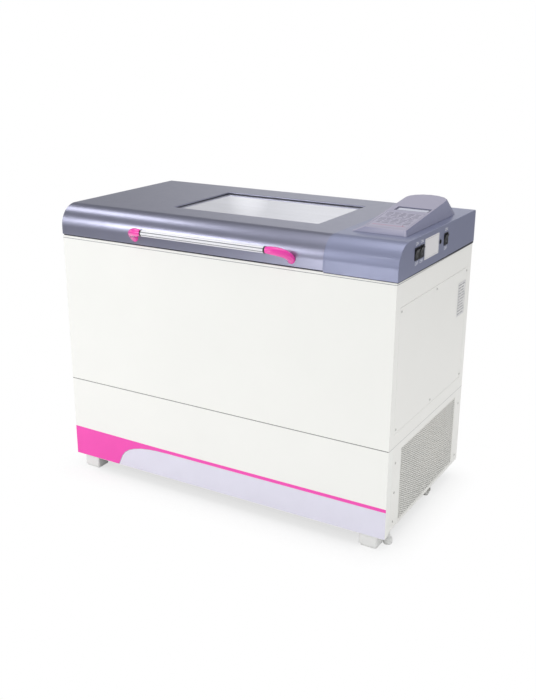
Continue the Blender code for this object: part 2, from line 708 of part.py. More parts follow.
def caster(side, sign):
    """A swivel fork and its wheel. The wheel's lowest flat lies on the floor."""
    x = sign * caster_x()
    swivel_y = caster_y()
    axle_y = swivel_y + CASTER_TRAIL
    crown_top = FRAME_BOTTOM - FRAME_STEP - SEAT_GAP
    crown_bottom = 2 * WHEEL_RADIUS + RUNNING_GAP
    leg_inner = WHEEL_WIDTH / 2 + RUNNING_GAP
    leg_outer = leg_inner + FORK_LEG
    crown = circle((x, swivel_y), FORK_CROWN_RADIUS)
    fork = prism(f"caster_fork_{side}", crown, "Z", (crown_bottom, crown_top))
    for number, (low, high) in enumerate(((-leg_outer, -leg_inner), (leg_inner, leg_outer))):
        leg_y = (axle_y - FORK_LEG_WIDTH / 2, axle_y + FORK_LEG_WIDTH / 2)
        leg = [
            (leg_y[0], WHEEL_RADIUS - AXLE_RADIUS * 2),
            (leg_y[1], WHEEL_RADIUS - AXLE_RADIUS * 2),
            (leg_y[1], crown_bottom + WELD),
            (leg_y[0] - CASTER_TRAIL, crown_bottom + WELD),
        ]
        fuse(fork, prism(f"{fork.name}_leg_{number}", leg, "X", (x + low, x + high)))
    hub = (axle_y, WHEEL_RADIUS)
    axle_span = (x - leg_outer - WELD, x + leg_outer + WELD)
    fuse(fork, round_bar(f"{fork.name}_axle", "X", hub, AXLE_RADIUS, axle_span, SMALL_SIDES))
    paint(fork, ZINC)
    levels = (
        (-WHEEL_WIDTH / 2, WHEEL_RADIUS - WHEEL_EDGE),
        (-WHEEL_WIDTH / 2 + WHEEL_EDGE, WHEEL_RADIUS),
        (WHEEL_WIDTH / 2 - WHEEL_EDGE, WHEEL_RADIUS),
        (WHEEL_WIDTH / 2, WHEEL_RADIUS - WHEEL_EDGE),
    )
    rings = []
    for along, radius in levels:
        outline = circle(hub, over_flats(radius))
        rings.append([(x + along, a, b) for a, b in outline])
    wheel = loft(f"caster_wheel_{side}", rings)
    bore = over_flats(AXLE_RADIUS + SEAT_GAP, SMALL_SIDES)
    bore_span = (x - WHEEL_WIDTH, x + WHEEL_WIDTH)
    cut(wheel, round_bar(f"{wheel.name}_bore", "X", hub, bore, bore_span, SMALL_SIDES))
    paint(wheel, RUBBER)
    carry(pivot(f"caster_swivel_{side}_axis", (x, swivel_y, crown_top)), fork)
    carry(pivot(f"caster_wheel_{side}_axis", (x, axle_y, WHEEL_RADIUS)), wheel)


# Cabinet panels


def front_panel():
    x = (-BODY_HALF_WIDTH, BODY_HALF_WIDTH)
    made = box("front_panel", x, (BODY_FRONT, BODY_FRONT + SHEET), (PANEL_BOTTOM, PANEL_TOP))
    paint(made, WHITE_PANEL)


def plinth_panel():
    x = (-BODY_HALF_WIDTH, BODY_HALF_WIDTH)
    y = (BODY_FRONT, BODY_FRONT + PLINTH_WALL)
    made = box("plinth_panel", x, y, (PLINTH_BOTTOM, PLINTH_TOP))
    corner = (CHEEK_BACK - CHEEK_RADIUS, PLINTH_BOTTOM + CHEEK_RADIUS)
    start = BODY_FRONT + WELD
    cheek = [(start, PLINTH_TOP - SEAT_GAP), (start, PLINTH_BOTTOM + SEAT_GAP)]
    cheek += arc((corner[0], corner[1] + SEAT_GAP), CHEEK_RADIUS, -90, 0, ARC_STEPS)
    cheek.append((CHEEK_BACK, PLINTH_TOP - SEAT_GAP))
    for side in (-1, 1):
        span = sorted((side * BODY_HALF_WIDTH, side * (BODY_HALF_WIDTH - PLINTH_WALL)))
        fuse(made, prism(f"cheek_{side}", cheek, "X", span))
    paint(made, PLINTH_WHITE)


def left_side_panel():
    low_front = CHEEK_BACK + SEAT_GAP
    outline = [
        (low_front, SIDE_PANEL_BOTTOM),
        (BODY_REAR, SIDE_PANEL_BOTTOM),
        (BODY_REAR, PANEL_TOP),
        (SIDE_FRONT, PANEL_TOP),
        (SIDE_FRONT, PANEL_BOTTOM),
        (low_front, PANEL_BOTTOM),
    ]
    made = prism("left_side_panel", outline, "X", (-BODY_HALF_WIDTH, -BODY_HALF_WIDTH + SHEET))
    paint(made, WHITE_PANEL)


def right_side_panel():
    """The upper side sheet with the set-in service cover."""
    x = (BODY_HALF_WIDTH - SHEET, BODY_HALF_WIDTH)
    cover_y = grown((BODY_FRONT, BODY_REAR), -COVER_MARGIN)
    cover_z = (COVER_BOTTOM, COVER_TOP)
    hole = rectangle(grown(cover_y, COVER_SEAM), grown(cover_z, COVER_SEAM))
    outer = rectangle((SIDE_FRONT, BODY_REAR), (PANEL_BOTTOM, PANEL_TOP))
    paint(frame("right_side_panel", outer, hole, "X", x), WHITE_PANEL)
    paint(prism("service_cover", rectangle(cover_y, cover_z), "X", x), WHITE_PANEL)


def grille_panel():
    """The lower side sheet with its mesh, a lattice of flat bars."""
    x = (BODY_HALF_WIDTH - SHEET, BODY_HALF_WIDTH)
    hole = rectangle((GRILLE_FRONT, GRILLE_BACK), (GRILLE_BOTTOM, GRILLE_TOP))
    outer = rectangle((CHEEK_BACK + SEAT_GAP, BODY_REAR), (SIDE_PANEL_BOTTOM, PLINTH_TOP))
    paint(frame("grille_panel", outer, hole, "X", x), WHITE_PANEL)
    mesh_y = grown((GRILLE_FRONT, GRILLE_BACK), -SEAT_GAP)
    mesh_z = grown((GRILLE_BOTTOM, GRILLE_TOP), -SEAT_GAP)
    mesh_x = (BODY_HALF_WIDTH - SHEET, BODY_HALF_WIDTH - SHEET + GRILLE_SHEET)
    paint(lattice("vent_grille", mesh_y, mesh_z, mesh_x), WHITE_PANEL)


def lattice_lines(span, count):
    """The edges of evenly spaced holes between a rim and bars, from one side to the other."""
    room = span[1] - span[0] - 2 * GRILLE_RIM - (count - 1) * GRILLE_BAR
    size = room / count
    lines = [span[0]]
    for index in range(count):
        start = span[0] + GRILLE_RIM + index * (size + GRILLE_BAR)
        lines += [start, start + size]
    return lines + [span[1]]


def lattice(name, y, z, x):
    """A flat sheet with rows of rectangular holes, made cell by cell."""
    ys = lattice_lines(y, GRILLE_COLUMNS)
    zs = lattice_lines(z, GRILLE_ROWS)
    points = [(depth, a, b) for depth in x for a in ys for b in zs]
    layer = len(ys) * len(zs)

    def corner(depth, column, row):
        return depth * layer + column * len(zs) + row

    def is_hole(column, row):
        inside = 0 < column < len(ys) - 2 and 0 < row < len(zs) - 2
        return inside and column % 2 == 1 and row % 2 == 1

    def is_solid(column, row):
        within = 0 <= column < len(ys) - 1 and 0 <= row < len(zs) - 1
        return within and not is_hole(column, row)

    faces = []
    for column in range(len(ys) - 1):
        for row in range(len(zs) - 1):
            if is_hole(column, row):
                continue
            square = ((column, row), (column + 1, row), (column + 1, row + 1), (column, row + 1))
            for depth in (0, 1):
                faces.append([corner(depth, *place) for place in square])
            neighbours = ((column, row - 1), (column + 1, row), (column, row + 1), (column - 1, row))
            for index, neighbour in enumerate(neighbours):
                if not is_solid(*neighbour):
                    first, second = square[index], square[(index + 1) % 4]
                    faces.append(
                        [corner(0, *first), corner(0, *second), corner(1, *second), corner(1, *first)]
                    )
    return solid(name, points, faces)


def back_panel():
    side = BODY_HALF_WIDTH - SHEET - SEAT_GAP
    y = (BODY_REAR - SHEET, BODY_REAR)
    made = box("back_panel", (-side, side), y, (SIDE_PANEL_BOTTOM, PANEL_TOP))
    hole_x = grown((INLET_X - INLET_WIDTH / 2, INLET_X + INLET_WIDTH / 2), INLET_WALL + FIT_GAP)
    hole_z = grown((INLET_Z - INLET_HEIGHT / 2, INLET_Z + INLET_HEIGHT / 2), INLET_WALL + FIT_GAP)
    cut(made, box("inlet_hole", hole_x, grown(y, OVERRUN), hole_z))
    paint(made, WHITE_PANEL)


def power_inlet():
    """A flanged appliance inlet with three pins, open towards the back."""
    x = (INLET_X - INLET_WIDTH / 2, INLET_X + INLET_WIDTH / 2)
    z = (INLET_Z - INLET_HEIGHT / 2, INLET_Z + INLET_HEIGHT / 2)
    mouth = BODY_REAR + SEAT_GAP + INLET_FLANGE_THICKNESS
    back = BODY_REAR - INLET_DEPTH
    flange = rectangle(grown(x, INLET_FLANGE), grown(z, INLET_FLANGE))
    made = prism("power_inlet", flange, "Y", (BODY_REAR + SEAT_GAP, mouth))
    shell = rectangle(grown(x, INLET_WALL), grown(z, INLET_WALL))
    fuse(made, prism("inlet_shell", shell, "Y", (back, mouth - WELD)))
    cut(made, prism("inlet_pocket", rectangle(x, z), "Y", (back + INLET_FLOOR, mouth + OVERRUN)))
    places = ((-INLET_PIN_SPREAD, 0), (0, INLET_PIN), (INLET_PIN_SPREAD, 0))
    for number, (shift, rise) in enumerate(places):
        pin_x = (INLET_X + shift - INLET_PIN / 2, INLET_X + shift + INLET_PIN / 2)
        pin_z = (INLET_Z + rise - INLET_PIN, INLET_Z + rise + INLET_PIN)
        pin_y = (back + INLET_FLOOR - WELD, BODY_REAR - INLET_FLANGE_THICKNESS)
        fuse(made, box(f"inlet_pin_{number}", pin_x, pin_y, pin_z))
    paint(made, BLACK_PLASTIC)


# Chamber


def liner_outline(margin=0):
    """The chamber's outer outline in plan, grown by a margin."""
    x = grown((LINER_LEFT, LINER_RIGHT), margin)
    y = grown((LINER_FRONT, LINER_BACK), margin)
    return rounded(x, y, CHAMBER_RADIUS + margin)


def column_holes(name, gap, z):
    """Cutters round the three bearing columns."""
    holes = [(DRIVE_X, MAIN_COLUMN_RADIUS)]
    holes += [(x, IDLER_COLUMN_RADIUS) for x in IDLER_XS.values()]
    return [
        round_bar(f"{name}_hole_{number}", "Z", (x, DRIVE_Y), over_flats(radius + gap), z)
        for number, (x, radius) in enumerate(holes)
    ]


def top_deck():
    x = (-BODY_HALF_WIDTH, BODY_HALF_WIDTH)
    y = (BODY_FRONT, BODY_REAR)
    made = box("top_deck", x, y, (DECK_BOTTOM, DECK_TOP))
    mouth = (DECK_BOTTOM - OVERRUN, DECK_TOP + OVERRUN)
    cut(made, prism("deck_mouth", liner_outline(RUNNING_GAP), "Z", mouth))
    paint(made, PLINTH_WHITE)


def chamber_liner():
    """The steel tub, hung by its flange, with a strut stud welded to each side wall."""
    made = prism("chamber_liner", liner_outline(), "Z", (LINER_BOTTOM, FLANGE_TOP - WELD))
    fuse(made, prism("liner_flange", liner_outline(LINER_FLANGE), "Z", (FLANGE_BOTTOM, FLANGE_TOP)))
    hollow = (CHAMBER_FLOOR, FLANGE_TOP + OVERRUN)
    cut(made, prism("liner_hollow", liner_outline(-LINER_SHEET), "Z", hollow))
    floor = (LINER_BOTTOM - OVERRUN, CHAMBER_FLOOR + OVERRUN)
    cut(made, *column_holes("liner", COLUMN_HOLE_GAP, floor))
    wall = (CHAMBER_RIGHT - OVERRUN, LINER_RIGHT + OVERRUN)
    cut(made, round_bar("liner_shaft_hole", "X", (FAN_Y, FAN_Z), FAN_SHAFT_HOLE, wall, SMALL_SIDES))
    for side, (wall_x, inward) in STRUT_SIDES.items():
        end = wall_x + inward * (STRUT_WALL_GAP + STRUT_EYE_WIDTH)
        span = sorted((wall_x - inward * WELD, end))
        centre = (WALL_STUD_Y, WALL_STUD_Z)
        fuse(made, round_bar(f"wall_stud_{side}", "X", centre, STRUT_STUD_RADIUS, span, SMALL_SIDES))
    paint(made, LINER_STEEL)


def insulation_jacket():
    """Foam round the tub, with its corners cut back to clear the posts."""
    x = (JACKET_LEFT, JACKET_RIGHT)
    y = (JACKET_FRONT, JACKET_BACK)
    bite = (POST_IN_X + JACKET_LEFT) + (POST_IN_Y + JACKET_FRONT)
    chamfer = JACKET_CORNER_GAP - bite
    outline = [
        (x[0] + chamfer, y[0]),
        (x[1] - chamfer, y[0]),
        (x[1], y[0] + chamfer),
        (x[1], y[1] - chamfer),
        (x[1] - chamfer, y[1]),
        (x[0] + chamfer, y[1]),
        (x[0], y[1] - chamfer),
        (x[0], y[0] + chamfer),
    ]
    made = prism("insulation_jacket", outline, "Z", (JACKET_BOTTOM, DECK_BOTTOM - SEAT_GAP))
    cut(made, prism("jacket_hollow", liner_outline(FIT_GAP), "Z", (JACKET_FLOOR, DECK_TOP)))
    floor = (JACKET_BOTTOM - OVERRUN, JACKET_FLOOR + OVERRUN)
    cut(made, *column_holes("jacket", COLUMN_HOLE_GAP, floor))
    wall = (LINER_RIGHT - OVERRUN, JACKET_RIGHT + OVERRUN)
    cut(made, round_bar("jacket_shaft_hole", "X", (FAN_Y, FAN_Z), FAN_SHAFT_HOLE, wall, SMALL_SIDES))
    paint(made, FOAM)


# Lid


def cover_profile(front, back, bottom, top, inset=0):
    """The lid's section across X, with its bullnose front, set in by a wall."""
    low, high = (front + inset, bottom), (back - inset, bottom)
    height = top - inset - bottom
    front_radius = min(LID_FRONT_RADIUS, height) - inset
    back_radius = min(LID_BACK_RADIUS, height) - inset
    front_centre = (low[0] + front_radius, top - inset - front_radius)
    back_centre = (high[0] - back_radius, top - inset - back_radius)
    outline = [low]
    outline += arc(front_centre, front_radius, 180, 90, LONG_ARC_STEPS)
    outline += arc(back_centre, back_radius, 90, 0, ARC_STEPS)
    return outline + [high]


def window_outline(margin):
    x = grown((WINDOW_LEFT, WINDOW_RIGHT), margin)
    y = grown((WINDOW_FRONT, WINDOW_BACK), margin)
    return rounded(x, y, WELL_CORNER + margin)


def lid_shell():
    profile = cover_profile(LID_FRONT, LID_BACK, LID_BOTTOM, LID_TOP)
    hollow = cover_profile(LID_FRONT, LID_BACK, LID_BOTTOM - OVERRUN, LID_TOP, LID_WALL)
    made = prism("lid_shell", profile, "X", (LID_LEFT, LID_RIGHT))
    cut(made, prism("lid_hollow", hollow, "X", (LID_LEFT + LID_WALL, LID_RIGHT - LID_WALL)))
    fuse(made, prism("window_well", window_outline(WELL_WALL), "Z", (WELL_BOTTOM, LID_TOP - WELD)))
    opening = (WELL_BOTTOM - OVERRUN, LID_TOP + OVERRUN)
    cut(made, prism("window_opening", window_outline(0), "Z", opening))
    paint(made, LID_GREY)
    return made


def lid_liner():
    """The lid's under-tray, with a chimney that holds the pane and a bracket for each strut."""
    gap = LID_WALL + FIT_GAP
    x = (LID_LEFT + gap, LID_RIGHT - gap)
    y = (LID_FRONT + gap, LID_BACK - gap)
    made = box("lid_liner", x, y, (LID_LINER_BOTTOM, LID_LINER_TOP))
    chimney = (LID_LINER_TOP - WELD, CHIMNEY_TOP)
    fuse(made, prism("chimney", window_outline(WINDOW_MARGIN), "Z", chimney))
    through = (LID_LINER_BOTTOM - OVERRUN, CHIMNEY_TOP + OVERRUN)
    cut(made, prism("chimney_hollow", window_outline(WINDOW_MARGIN - WELL_WALL), "Z", through))
    for side, (wall_x, inward) in STRUT_SIDES.items():
        plane = wall_x + inward * STRUT_WALL_GAP
        near = plane + inward * (max(STRUT_EYE_WIDTH / 2, STRUT_ROD_RADIUS) + STRUT_PLATE_GAP)
        far = near + inward * STRUT_PLATE
        plate_y = (LID_STUD_Y - STRUT_PLATE_REACH, LID_STUD_Y + STRUT_PLATE_REACH)
        plate_z = (LID_STUD_Z - STRUT_PLATE_REACH, LID_LINER_BOTTOM + WELD)
        fuse(made, box(f"strut_bracket_{side}", sorted((near, far)), plate_y, plate_z))
        span = sorted((near + inward * WELD, plane - inward * STRUT_EYE_WIDTH))
        centre = (LID_STUD_Y, LID_STUD_Z)
        fuse(made, round_bar(f"lid_stud_{side}", "X", centre, STRUT_STUD_RADIUS, span, SMALL_SIDES))
    paint(made, LINER_STEEL)
    return made


def window_pane():
    made = prism("window_pane", window_outline(WINDOW_MARGIN), "Z", (PANE_BOTTOM, PANE_TOP))
    paint(made, PANE)
    return made


def lid_gasket():
    inner = liner_outline(LINER_FLANGE + GASKET_MARGIN)
    outer = liner_outline(LINER_FLANGE + GASKET_MARGIN + GASKET_WIDTH)
    z = (DECK_TOP + SEAT_GAP, LID_LINER_BOTTOM - SEAT_GAP)
    made = frame("lid_gasket", outer, inner, "Z", z)
    paint(made, RUBBER)
    return made


def handle_bar():
    """A fluted bar: its outline steps in and out round the circle."""
    sides = 2 * HANDLE_FLUTES
    ridge = circle((HANDLE_Y, HANDLE_Z), HANDLE_RADIUS, sides)
    groove = circle((HANDLE_Y, HANDLE_Z), HANDLE_RADIUS - HANDLE_FLUTE, sides)
    outline = [ridge[index] if index % 2 else groove[index] for index in range(sides)]
    made = prism("handle_bar", outline, "X", (HANDLE_LEFT, HANDLE_RIGHT))
    paint(made, ALUMINIUM)
    return made


def smooth_step(share):
    return share * share * (3 - 2 * share)


def handle_bracket(side, start_x, sign):
    """A swept arm that leaves the bar's end sideways and turns back into the lid's face."""
    foot_z = LID_BOTTOM + HANDLE_FOOT_RISE
    foot_y = LID_FRONT - SEAT_GAP
    rings = []
    for step in range(LONG_ARC_STEPS + 1):
        share = step / LONG_ARC_STEPS
        turn = share * math.pi / 2
        x = start_x + sign * (SEAT_GAP + HANDLE_FOOT_OUT * math.sin(turn))
        y = HANDLE_Y + (foot_y - HANDLE_Y) * (1 - math.cos(turn))
        z = HANDLE_Z + (foot_z - HANDLE_Z) * smooth_step(share)
        radius = BRACKET_RADIUS + (BRACKET_FOOT_RADIUS - BRACKET_RADIUS) * share
        ring = []
        for across, up in circle((0, 0), radius, SMALL_SIDES):
            ring.append((x + sign * across * math.sin(turn), y - across * math.cos(turn), z + up))
        rings.append(ring)
    made = loft(f"handle_bracket_{side}", rings)
    paint(made, PINK)
    return made


def hinge_segments(first):
    """The spans of every second knuckle, starting with the first or the second."""
    length = (HINGE_RIGHT - HINGE_LEFT) / HINGE_KNUCKLES
    for index in range(first, HINGE_KNUCKLES, 2):
        start = HINGE_LEFT + index * length
        yield index, (start + FIT_GAP / 2, start + length - FIT_GAP / 2)


def hinge_base():
    """The fixed hinge half: a plate on the cabinet's back, knuckles and the pin."""
    y = (BODY_REAR + SEAT_GAP, BODY_REAR + SEAT_GAP + HINGE_PLATE)
    top = DECK_BOTTOM
    made = box("hinge_base", (HINGE_LEFT, HINGE_RIGHT), y, (top - HINGE_DROP, top))
    centre = (HINGE_Y, HINGE_Z)
    for index, span in hinge_segments(0):
        web_z = (top - HINGE_WEB, HINGE_Z)
        fuse(made, box(f"base_web_{index}", span, (y[0] + WELD, HINGE_Y), (web_z[0], web_z[1] - WELD)))
        fuse(made, round_bar(f"base_knuckle_{index}", "X", centre, HINGE_RADIUS, span, SMALL_SIDES))
    pin_span = (HINGE_LEFT + WELD, HINGE_RIGHT - WELD)
    fuse(made, round_bar("hinge_pin", "X", centre, HINGE_PIN_RADIUS, pin_span, SMALL_SIDES))
    paint(made, ZINC)


def hinge_leaf():
    """The moving hinge half on the lid's back, bored for the pin."""
    y = (LID_BACK + SEAT_GAP, LID_BACK + SEAT_GAP + HINGE_PLATE)
    low = HINGE_Z + HINGE_WEB_RISE
    z = (LID_BOTTOM, HINGE_Z + HINGE_LEAF_TOP)
    made = box("hinge_leaf", (HINGE_LEFT, HINGE_RIGHT), y, z)
    centre = (HINGE_Y, HINGE_Z)
    for index, span in hinge_segments(1):
        fuse(made, box(f"leaf_web_{index}", span, (y[0] + WELD / 2, HINGE_Y), (low, low + HINGE_WEB)))
        fuse(made, round_bar(f"leaf_knuckle_{index}", "X", centre, HINGE_RADIUS, span, SMALL_SIDES))
    bore = over_flats(HINGE_PIN_RADIUS + SEAT_GAP, SMALL_SIDES)
    bore_span = grown((HINGE_LEFT, HINGE_RIGHT), OVERRUN)
    cut(made, round_bar("leaf_bore", "X", centre, bore, bore_span, SMALL_SIDES))
    paint(made, ZINC)
    return made


def lid():
    """Every piece that swings about the hinge pin."""
    axle = pivot("lid_axis", (0, HINGE_Y, HINGE_Z))
    pieces = [lid_shell(), lid_liner(), window_pane(), lid_gasket(), handle_bar(), hinge_leaf()]
    pieces.append(handle_bracket("left", HANDLE_LEFT, -1))
    pieces.append(handle_bracket("right", HANDLE_RIGHT, 1))
    carry(axle, *pieces)


def gas_strut(side, wall_x, inward):
    """A cylinder on the wall's stud and a rod on the lid's, on the line between the two."""
    plane = wall_x + inward * STRUT_WALL_GAP
    half_eye = (-STRUT_EYE_WIDTH / 2, STRUT_EYE_WIDTH / 2)
    through = grown(half_eye, OVERRUN)
    bore_radius = over_flats(STRUT_STUD_RADIUS + SEAT_GAP, SMALL_SIDES)
    neck = STRUT_STUD_RADIUS + SEAT_GAP

    barrel_span = (neck, STRUT_CYLINDER_LENGTH)
    cylinder = round_bar(f"strut_cylinder_{side}", "Z", (0, 0), STRUT_CYLINDER_RADIUS, barrel_span)
    eye = round_bar(f"cylinder_eye_{side}", "X", (0, 0), STRUT_EYE_RADIUS, half_eye, SMALL_SIDES)
    inner = over_flats(STRUT_ROD_RADIUS + RUNNING_GAP, SMALL_SIDES)
    bore = (STRUT_BORE_FLOOR, STRUT_CYLINDER_LENGTH + OVERRUN)
    cutters = [
        round_bar(f"cylinder_bore_{side}", "Z", (0, 0), inner, bore, SMALL_SIDES),
        round_bar(f"cylinder_eye_bore_{side}", "X", (0, 0), bore_radius, through, SMALL_SIDES),
    ]
    fuse(cylinder, eye)
    cut(cylinder, *cutters)
    axle = pivot(f"strut_cylinder_{side}_axis", (plane, WALL_STUD_Y, WALL_STUD_Z), STRUT_LEAN)
    for piece in (cylinder, eye, *cutters):
        piece.parent = axle
    paint(cylinder, BLACK_PLASTIC)

    rod_span = (-STRUT_ROD_LENGTH, -neck)
    rod = round_bar(f"strut_rod_{side}", "Z", (0, 0), STRUT_ROD_RADIUS, rod_span, SMALL_SIDES)
    eye = round_bar(f"rod_eye_{side}", "X", (0, 0), STRUT_EYE_RADIUS, half_eye, SMALL_SIDES)
    eye_bore = round_bar(f"rod_eye_bore_{side}", "X", (0, 0), bore_radius, through, SMALL_SIDES)
    fuse(rod, eye)
    cut(rod, eye_bore)
    axle = pivot(f"strut_rod_{side}_axis", (plane, LID_STUD_Y, LID_STUD_Z), STRUT_LEAN)
    for piece in (rod, eye, eye_bore):
        piece.parent = axle
    paint(rod, ZINC)


# Controls


def control_housing():
    """The fixed cover at the right, with bezels round its switch openings."""
    profile = cover_profile(HOUSING_FRONT, HOUSING_BACK, HOUSING_BOTTOM, HOUSING_TOP)
    hollow = cover_profile(
        HOUSING_FRONT, HOUSING_BACK, HOUSING_BOTTOM - OVERRUN, HOUSING_TOP, HOUSING_WALL
    )
    made = prism("control_housing", profile, "X", (HOUSING_LEFT, HOUSING_RIGHT))
    between = (HOUSING_LEFT + HOUSING_WALL, HOUSING_RIGHT - HOUSING_WALL)
    cut(made, prism("housing_hollow", hollow, "X", between))
    wall = (HOUSING_RIGHT - HOUSING_WALL - OVERRUN, HOUSING_RIGHT + OVERRUN)
    half_y = ROCKER_WIDTH / 2 + FIT_GAP
    half_z = ROCKER_HEIGHT / 2 + ROCKER_SWING_GAP
    bezel = (HOUSING_RIGHT - WELD, HOUSING_RIGHT + BEZEL_PROUD)
    bezels = []
    holes = []
    for number, y in enumerate(ROCKER_YS):
        hole_y = (y - half_y, y + half_y)
        hole_z = (ROCKER_Z - half_z, ROCKER_Z + half_z)
        rim_y = grown(hole_y, BEZEL_MARGIN - WELD / 2)
        rim = rounded(rim_y, grown(hole_z, BEZEL_MARGIN), BEZEL_MARGIN)
        bezels.append(prism(f"bezel_{number}", rim, "X", bezel))
        holes.append(prism(f"rocker_hole_{number}", rectangle(hole_y, hole_z), "X", wall))
    fuse(made, *bezels)
    hole = over_flats(BUTTON_RADIUS + SEAT_GAP, SMALL_SIDES)
    holes.append(round_bar("button_hole", "X", (BUTTON_Y, BUTTON_Z), hole, wall, SMALL_SIDES))
    cut(made, *holes)
    paint(made, HOUSING_GREY)


def rocker(name, y):
    """A rocker cap with a shallow dish in its face, tilted about its own pivot."""
    half = ROCKER_HEIGHT / 2
    face = ROCKER_PIVOT_DEPTH + ROCKER_PROUD
    back = face - ROCKER_DEPTH
    outline = [
        (back, -half / 2),
        (ROCKER_PIVOT_DEPTH - ROCKER_DISH, -half),
        (face, -half),
        (face - ROCKER_DISH, 0),
        (face, half),
        (ROCKER_PIVOT_DEPTH - ROCKER_DISH, half),
        (back, half / 2),
    ]
    made = prism(name, outline, "Y", (-ROCKER_WIDTH / 2, ROCKER_WIDTH / 2))
    made.location = (HOUSING_RIGHT - ROCKER_PIVOT_DEPTH, y, ROCKER_Z)
    made.rotation_euler = (0, math.radians(ROCKER_TILT_DEGREES), 0)
    paint(made, BLACK_PLASTIC)


def reset_button():
    """A round button whose flange stops it from behind the wall."""
    inside = HOUSING_RIGHT - HOUSING_WALL - SEAT_GAP
    centre = (BUTTON_Y, BUTTON_Z)
    span = (inside - WELD, HOUSING_RIGHT + BUTTON_PROUD)
    made = round_bar("reset_button", "X", centre, BUTTON_RADIUS, span, SMALL_SIDES)
    flange = (inside - BUTTON_FLANGE_THICKNESS, inside)
    flange_radius = BUTTON_RADIUS + BUTTON_FLANGE
    fuse(made, round_bar("button_flange", "X", centre, flange_radius, flange, SMALL_SIDES))
    paint(made, BLACK_PLASTIC)
    carry(pivot("reset_button_axis", (inside, *centre)), made)


def face_height(y):
    """The height of the console's tilted face."""
    return FACE_FRONT_Z + FACE_SLOPE * (y - FACE_FRONT)


def arched(x, front, straight, back, steps=LONG_ARC_STEPS):
    """A plan outline with square sides and an arched back, its front corners rounded."""
    corner = CONSOLE_CORNER
    outline = arc((x[0] + corner, front + corner), corner, 180, 270, ARC_STEPS)
    outline += arc((x[1] - corner, front + corner), corner, 270, 360, ARC_STEPS)
    middle, half = (x[0] + x[1]) / 2, (x[1] - x[0]) / 2
    for step in range(steps + 1):
        turn = math.pi * step / steps
        outline.append((middle + half * math.cos(turn), straight + (back - straight) * math.sin(turn)))
    return outline


def on_face(piece, x, y):
    """Lays a piece, written about its own origin, on the console's tilted face."""
    piece.location = (x, y, face_height(y))
    piece.rotation_euler = (FACE_TILT, 0, 0)
    return piece


def face_box(name, place, margin, z):
    """A box on the console's face, from its middle, its half sizes and its levels."""
    x, y, half_x, half_y = place
    made = box(name, grown((-half_x, half_x), margin), grown((-half_y, half_y), margin), z)
    return on_face(made, x, y)


def key_places():
    room = KEYPAD_RIGHT - KEYPAD_LEFT
    y = KEYPAD_BACK - KEY_ROW_BACK
    return [(KEYPAD_LEFT + room * (number + 1) / (KEY_COUNT + 1), y) for number in range(KEY_COUNT)]


def key_box(name, margin, z):
    half_x = KEY_LENGTH / 2 + margin
    half_y = KEY_WIDTH / 2 + margin
    return box(name, (-half_x, half_x), (-half_y, half_y), z)


def console_housing():
    """The console body: a skirt that narrows to a tilted face, pocketed for the display and keypad."""
    base = arched((CONSOLE_LEFT, CONSOLE_RIGHT), CONSOLE_FRONT, CONSOLE_STRAIGHT, CONSOLE_BACK)
    face = arched(
        (CONSOLE_LEFT + CONSOLE_LEFT_INSET, CONSOLE_RIGHT - CONSOLE_RIGHT_INSET),
        FACE_FRONT,
        CONSOLE_STRAIGHT - CONSOLE_STRAIGHT_INSET,
        FACE_BACK,
    )
    rings = [[(x, y, CONSOLE_BOTTOM) for x, y in base], [(x, y, face_height(y)) for x, y in face]]
    made = loft("console_housing", rings)
    cut(made, face_box("display_pocket", display_place(), FIT_GAP, (-DISPLAY_BOTTOM - FIT_GAP, OVERRUN)))
    cut(made, face_box("keypad_pocket", keypad_place(), FIT_GAP, (-KEYPAD_THICKNESS - SEAT_GAP, OVERRUN)))
    well_z = (-KEY_HEIGHT - KEY_TRAVEL - FIT_GAP, OVERRUN)
    for number, (x, y) in enumerate(key_places()):
        cut(made, on_face(key_box(f"key_well_{number}", KEY_FLANGE + FIT_GAP, well_z), x, y))
    paint(made, HOUSING_GREY)


def display_place():
    """The display's middle on the face and its half sizes."""
    x = (DISPLAY_LEFT + DISPLAY_RIGHT) / 2
    y = (DISPLAY_FRONT + DISPLAY_BACK) / 2
    return x, y, (DISPLAY_RIGHT - DISPLAY_LEFT) / 2, (DISPLAY_BACK - DISPLAY_FRONT) / 2


def keypad_place():
    x = (KEYPAD_LEFT + KEYPAD_RIGHT) / 2
    y = (KEYPAD_FRONT + KEYPAD_BACK) / 2
    return x, y, (KEYPAD_RIGHT - KEYPAD_LEFT) / 2, (KEYPAD_BACK - KEYPAD_FRONT) / 2


def display_lens():
    z = (-DISPLAY_BOTTOM, -DISPLAY_RECESS)
    paint(face_box("display_lens", display_place(), 0, z), DISPLAY)


def keypad_plate():
    made = face_box("keypad_plate", keypad_place(), 0, (-KEYPAD_THICKNESS, 0))
    z = (-KEYPAD_THICKNESS - OVERRUN, OVERRUN)
    for number, (x, y) in enumerate(key_places()):
        cut(made, on_face(key_box(f"key_hole_{number}", SEAT_GAP, z), x, y))
    paint(made, CONSOLE_GREY)


def keypad_key(number, x, y):
    """A key whose flange stops it from below the plate."""
    made = key_box(f"key_{number}", 0, (-KEY_HEIGHT, KEY_PROUD))
    flange = key_box(f"key_flange_{number}", KEY_FLANGE, (-KEY_HEIGHT, -KEYPAD_THICKNESS - FIT_GAP))
    fuse(made, on_face(flange, x, y))
    on_face(made, x, y)
    paint(made, KEY_PLASTIC)


# Shaking drive


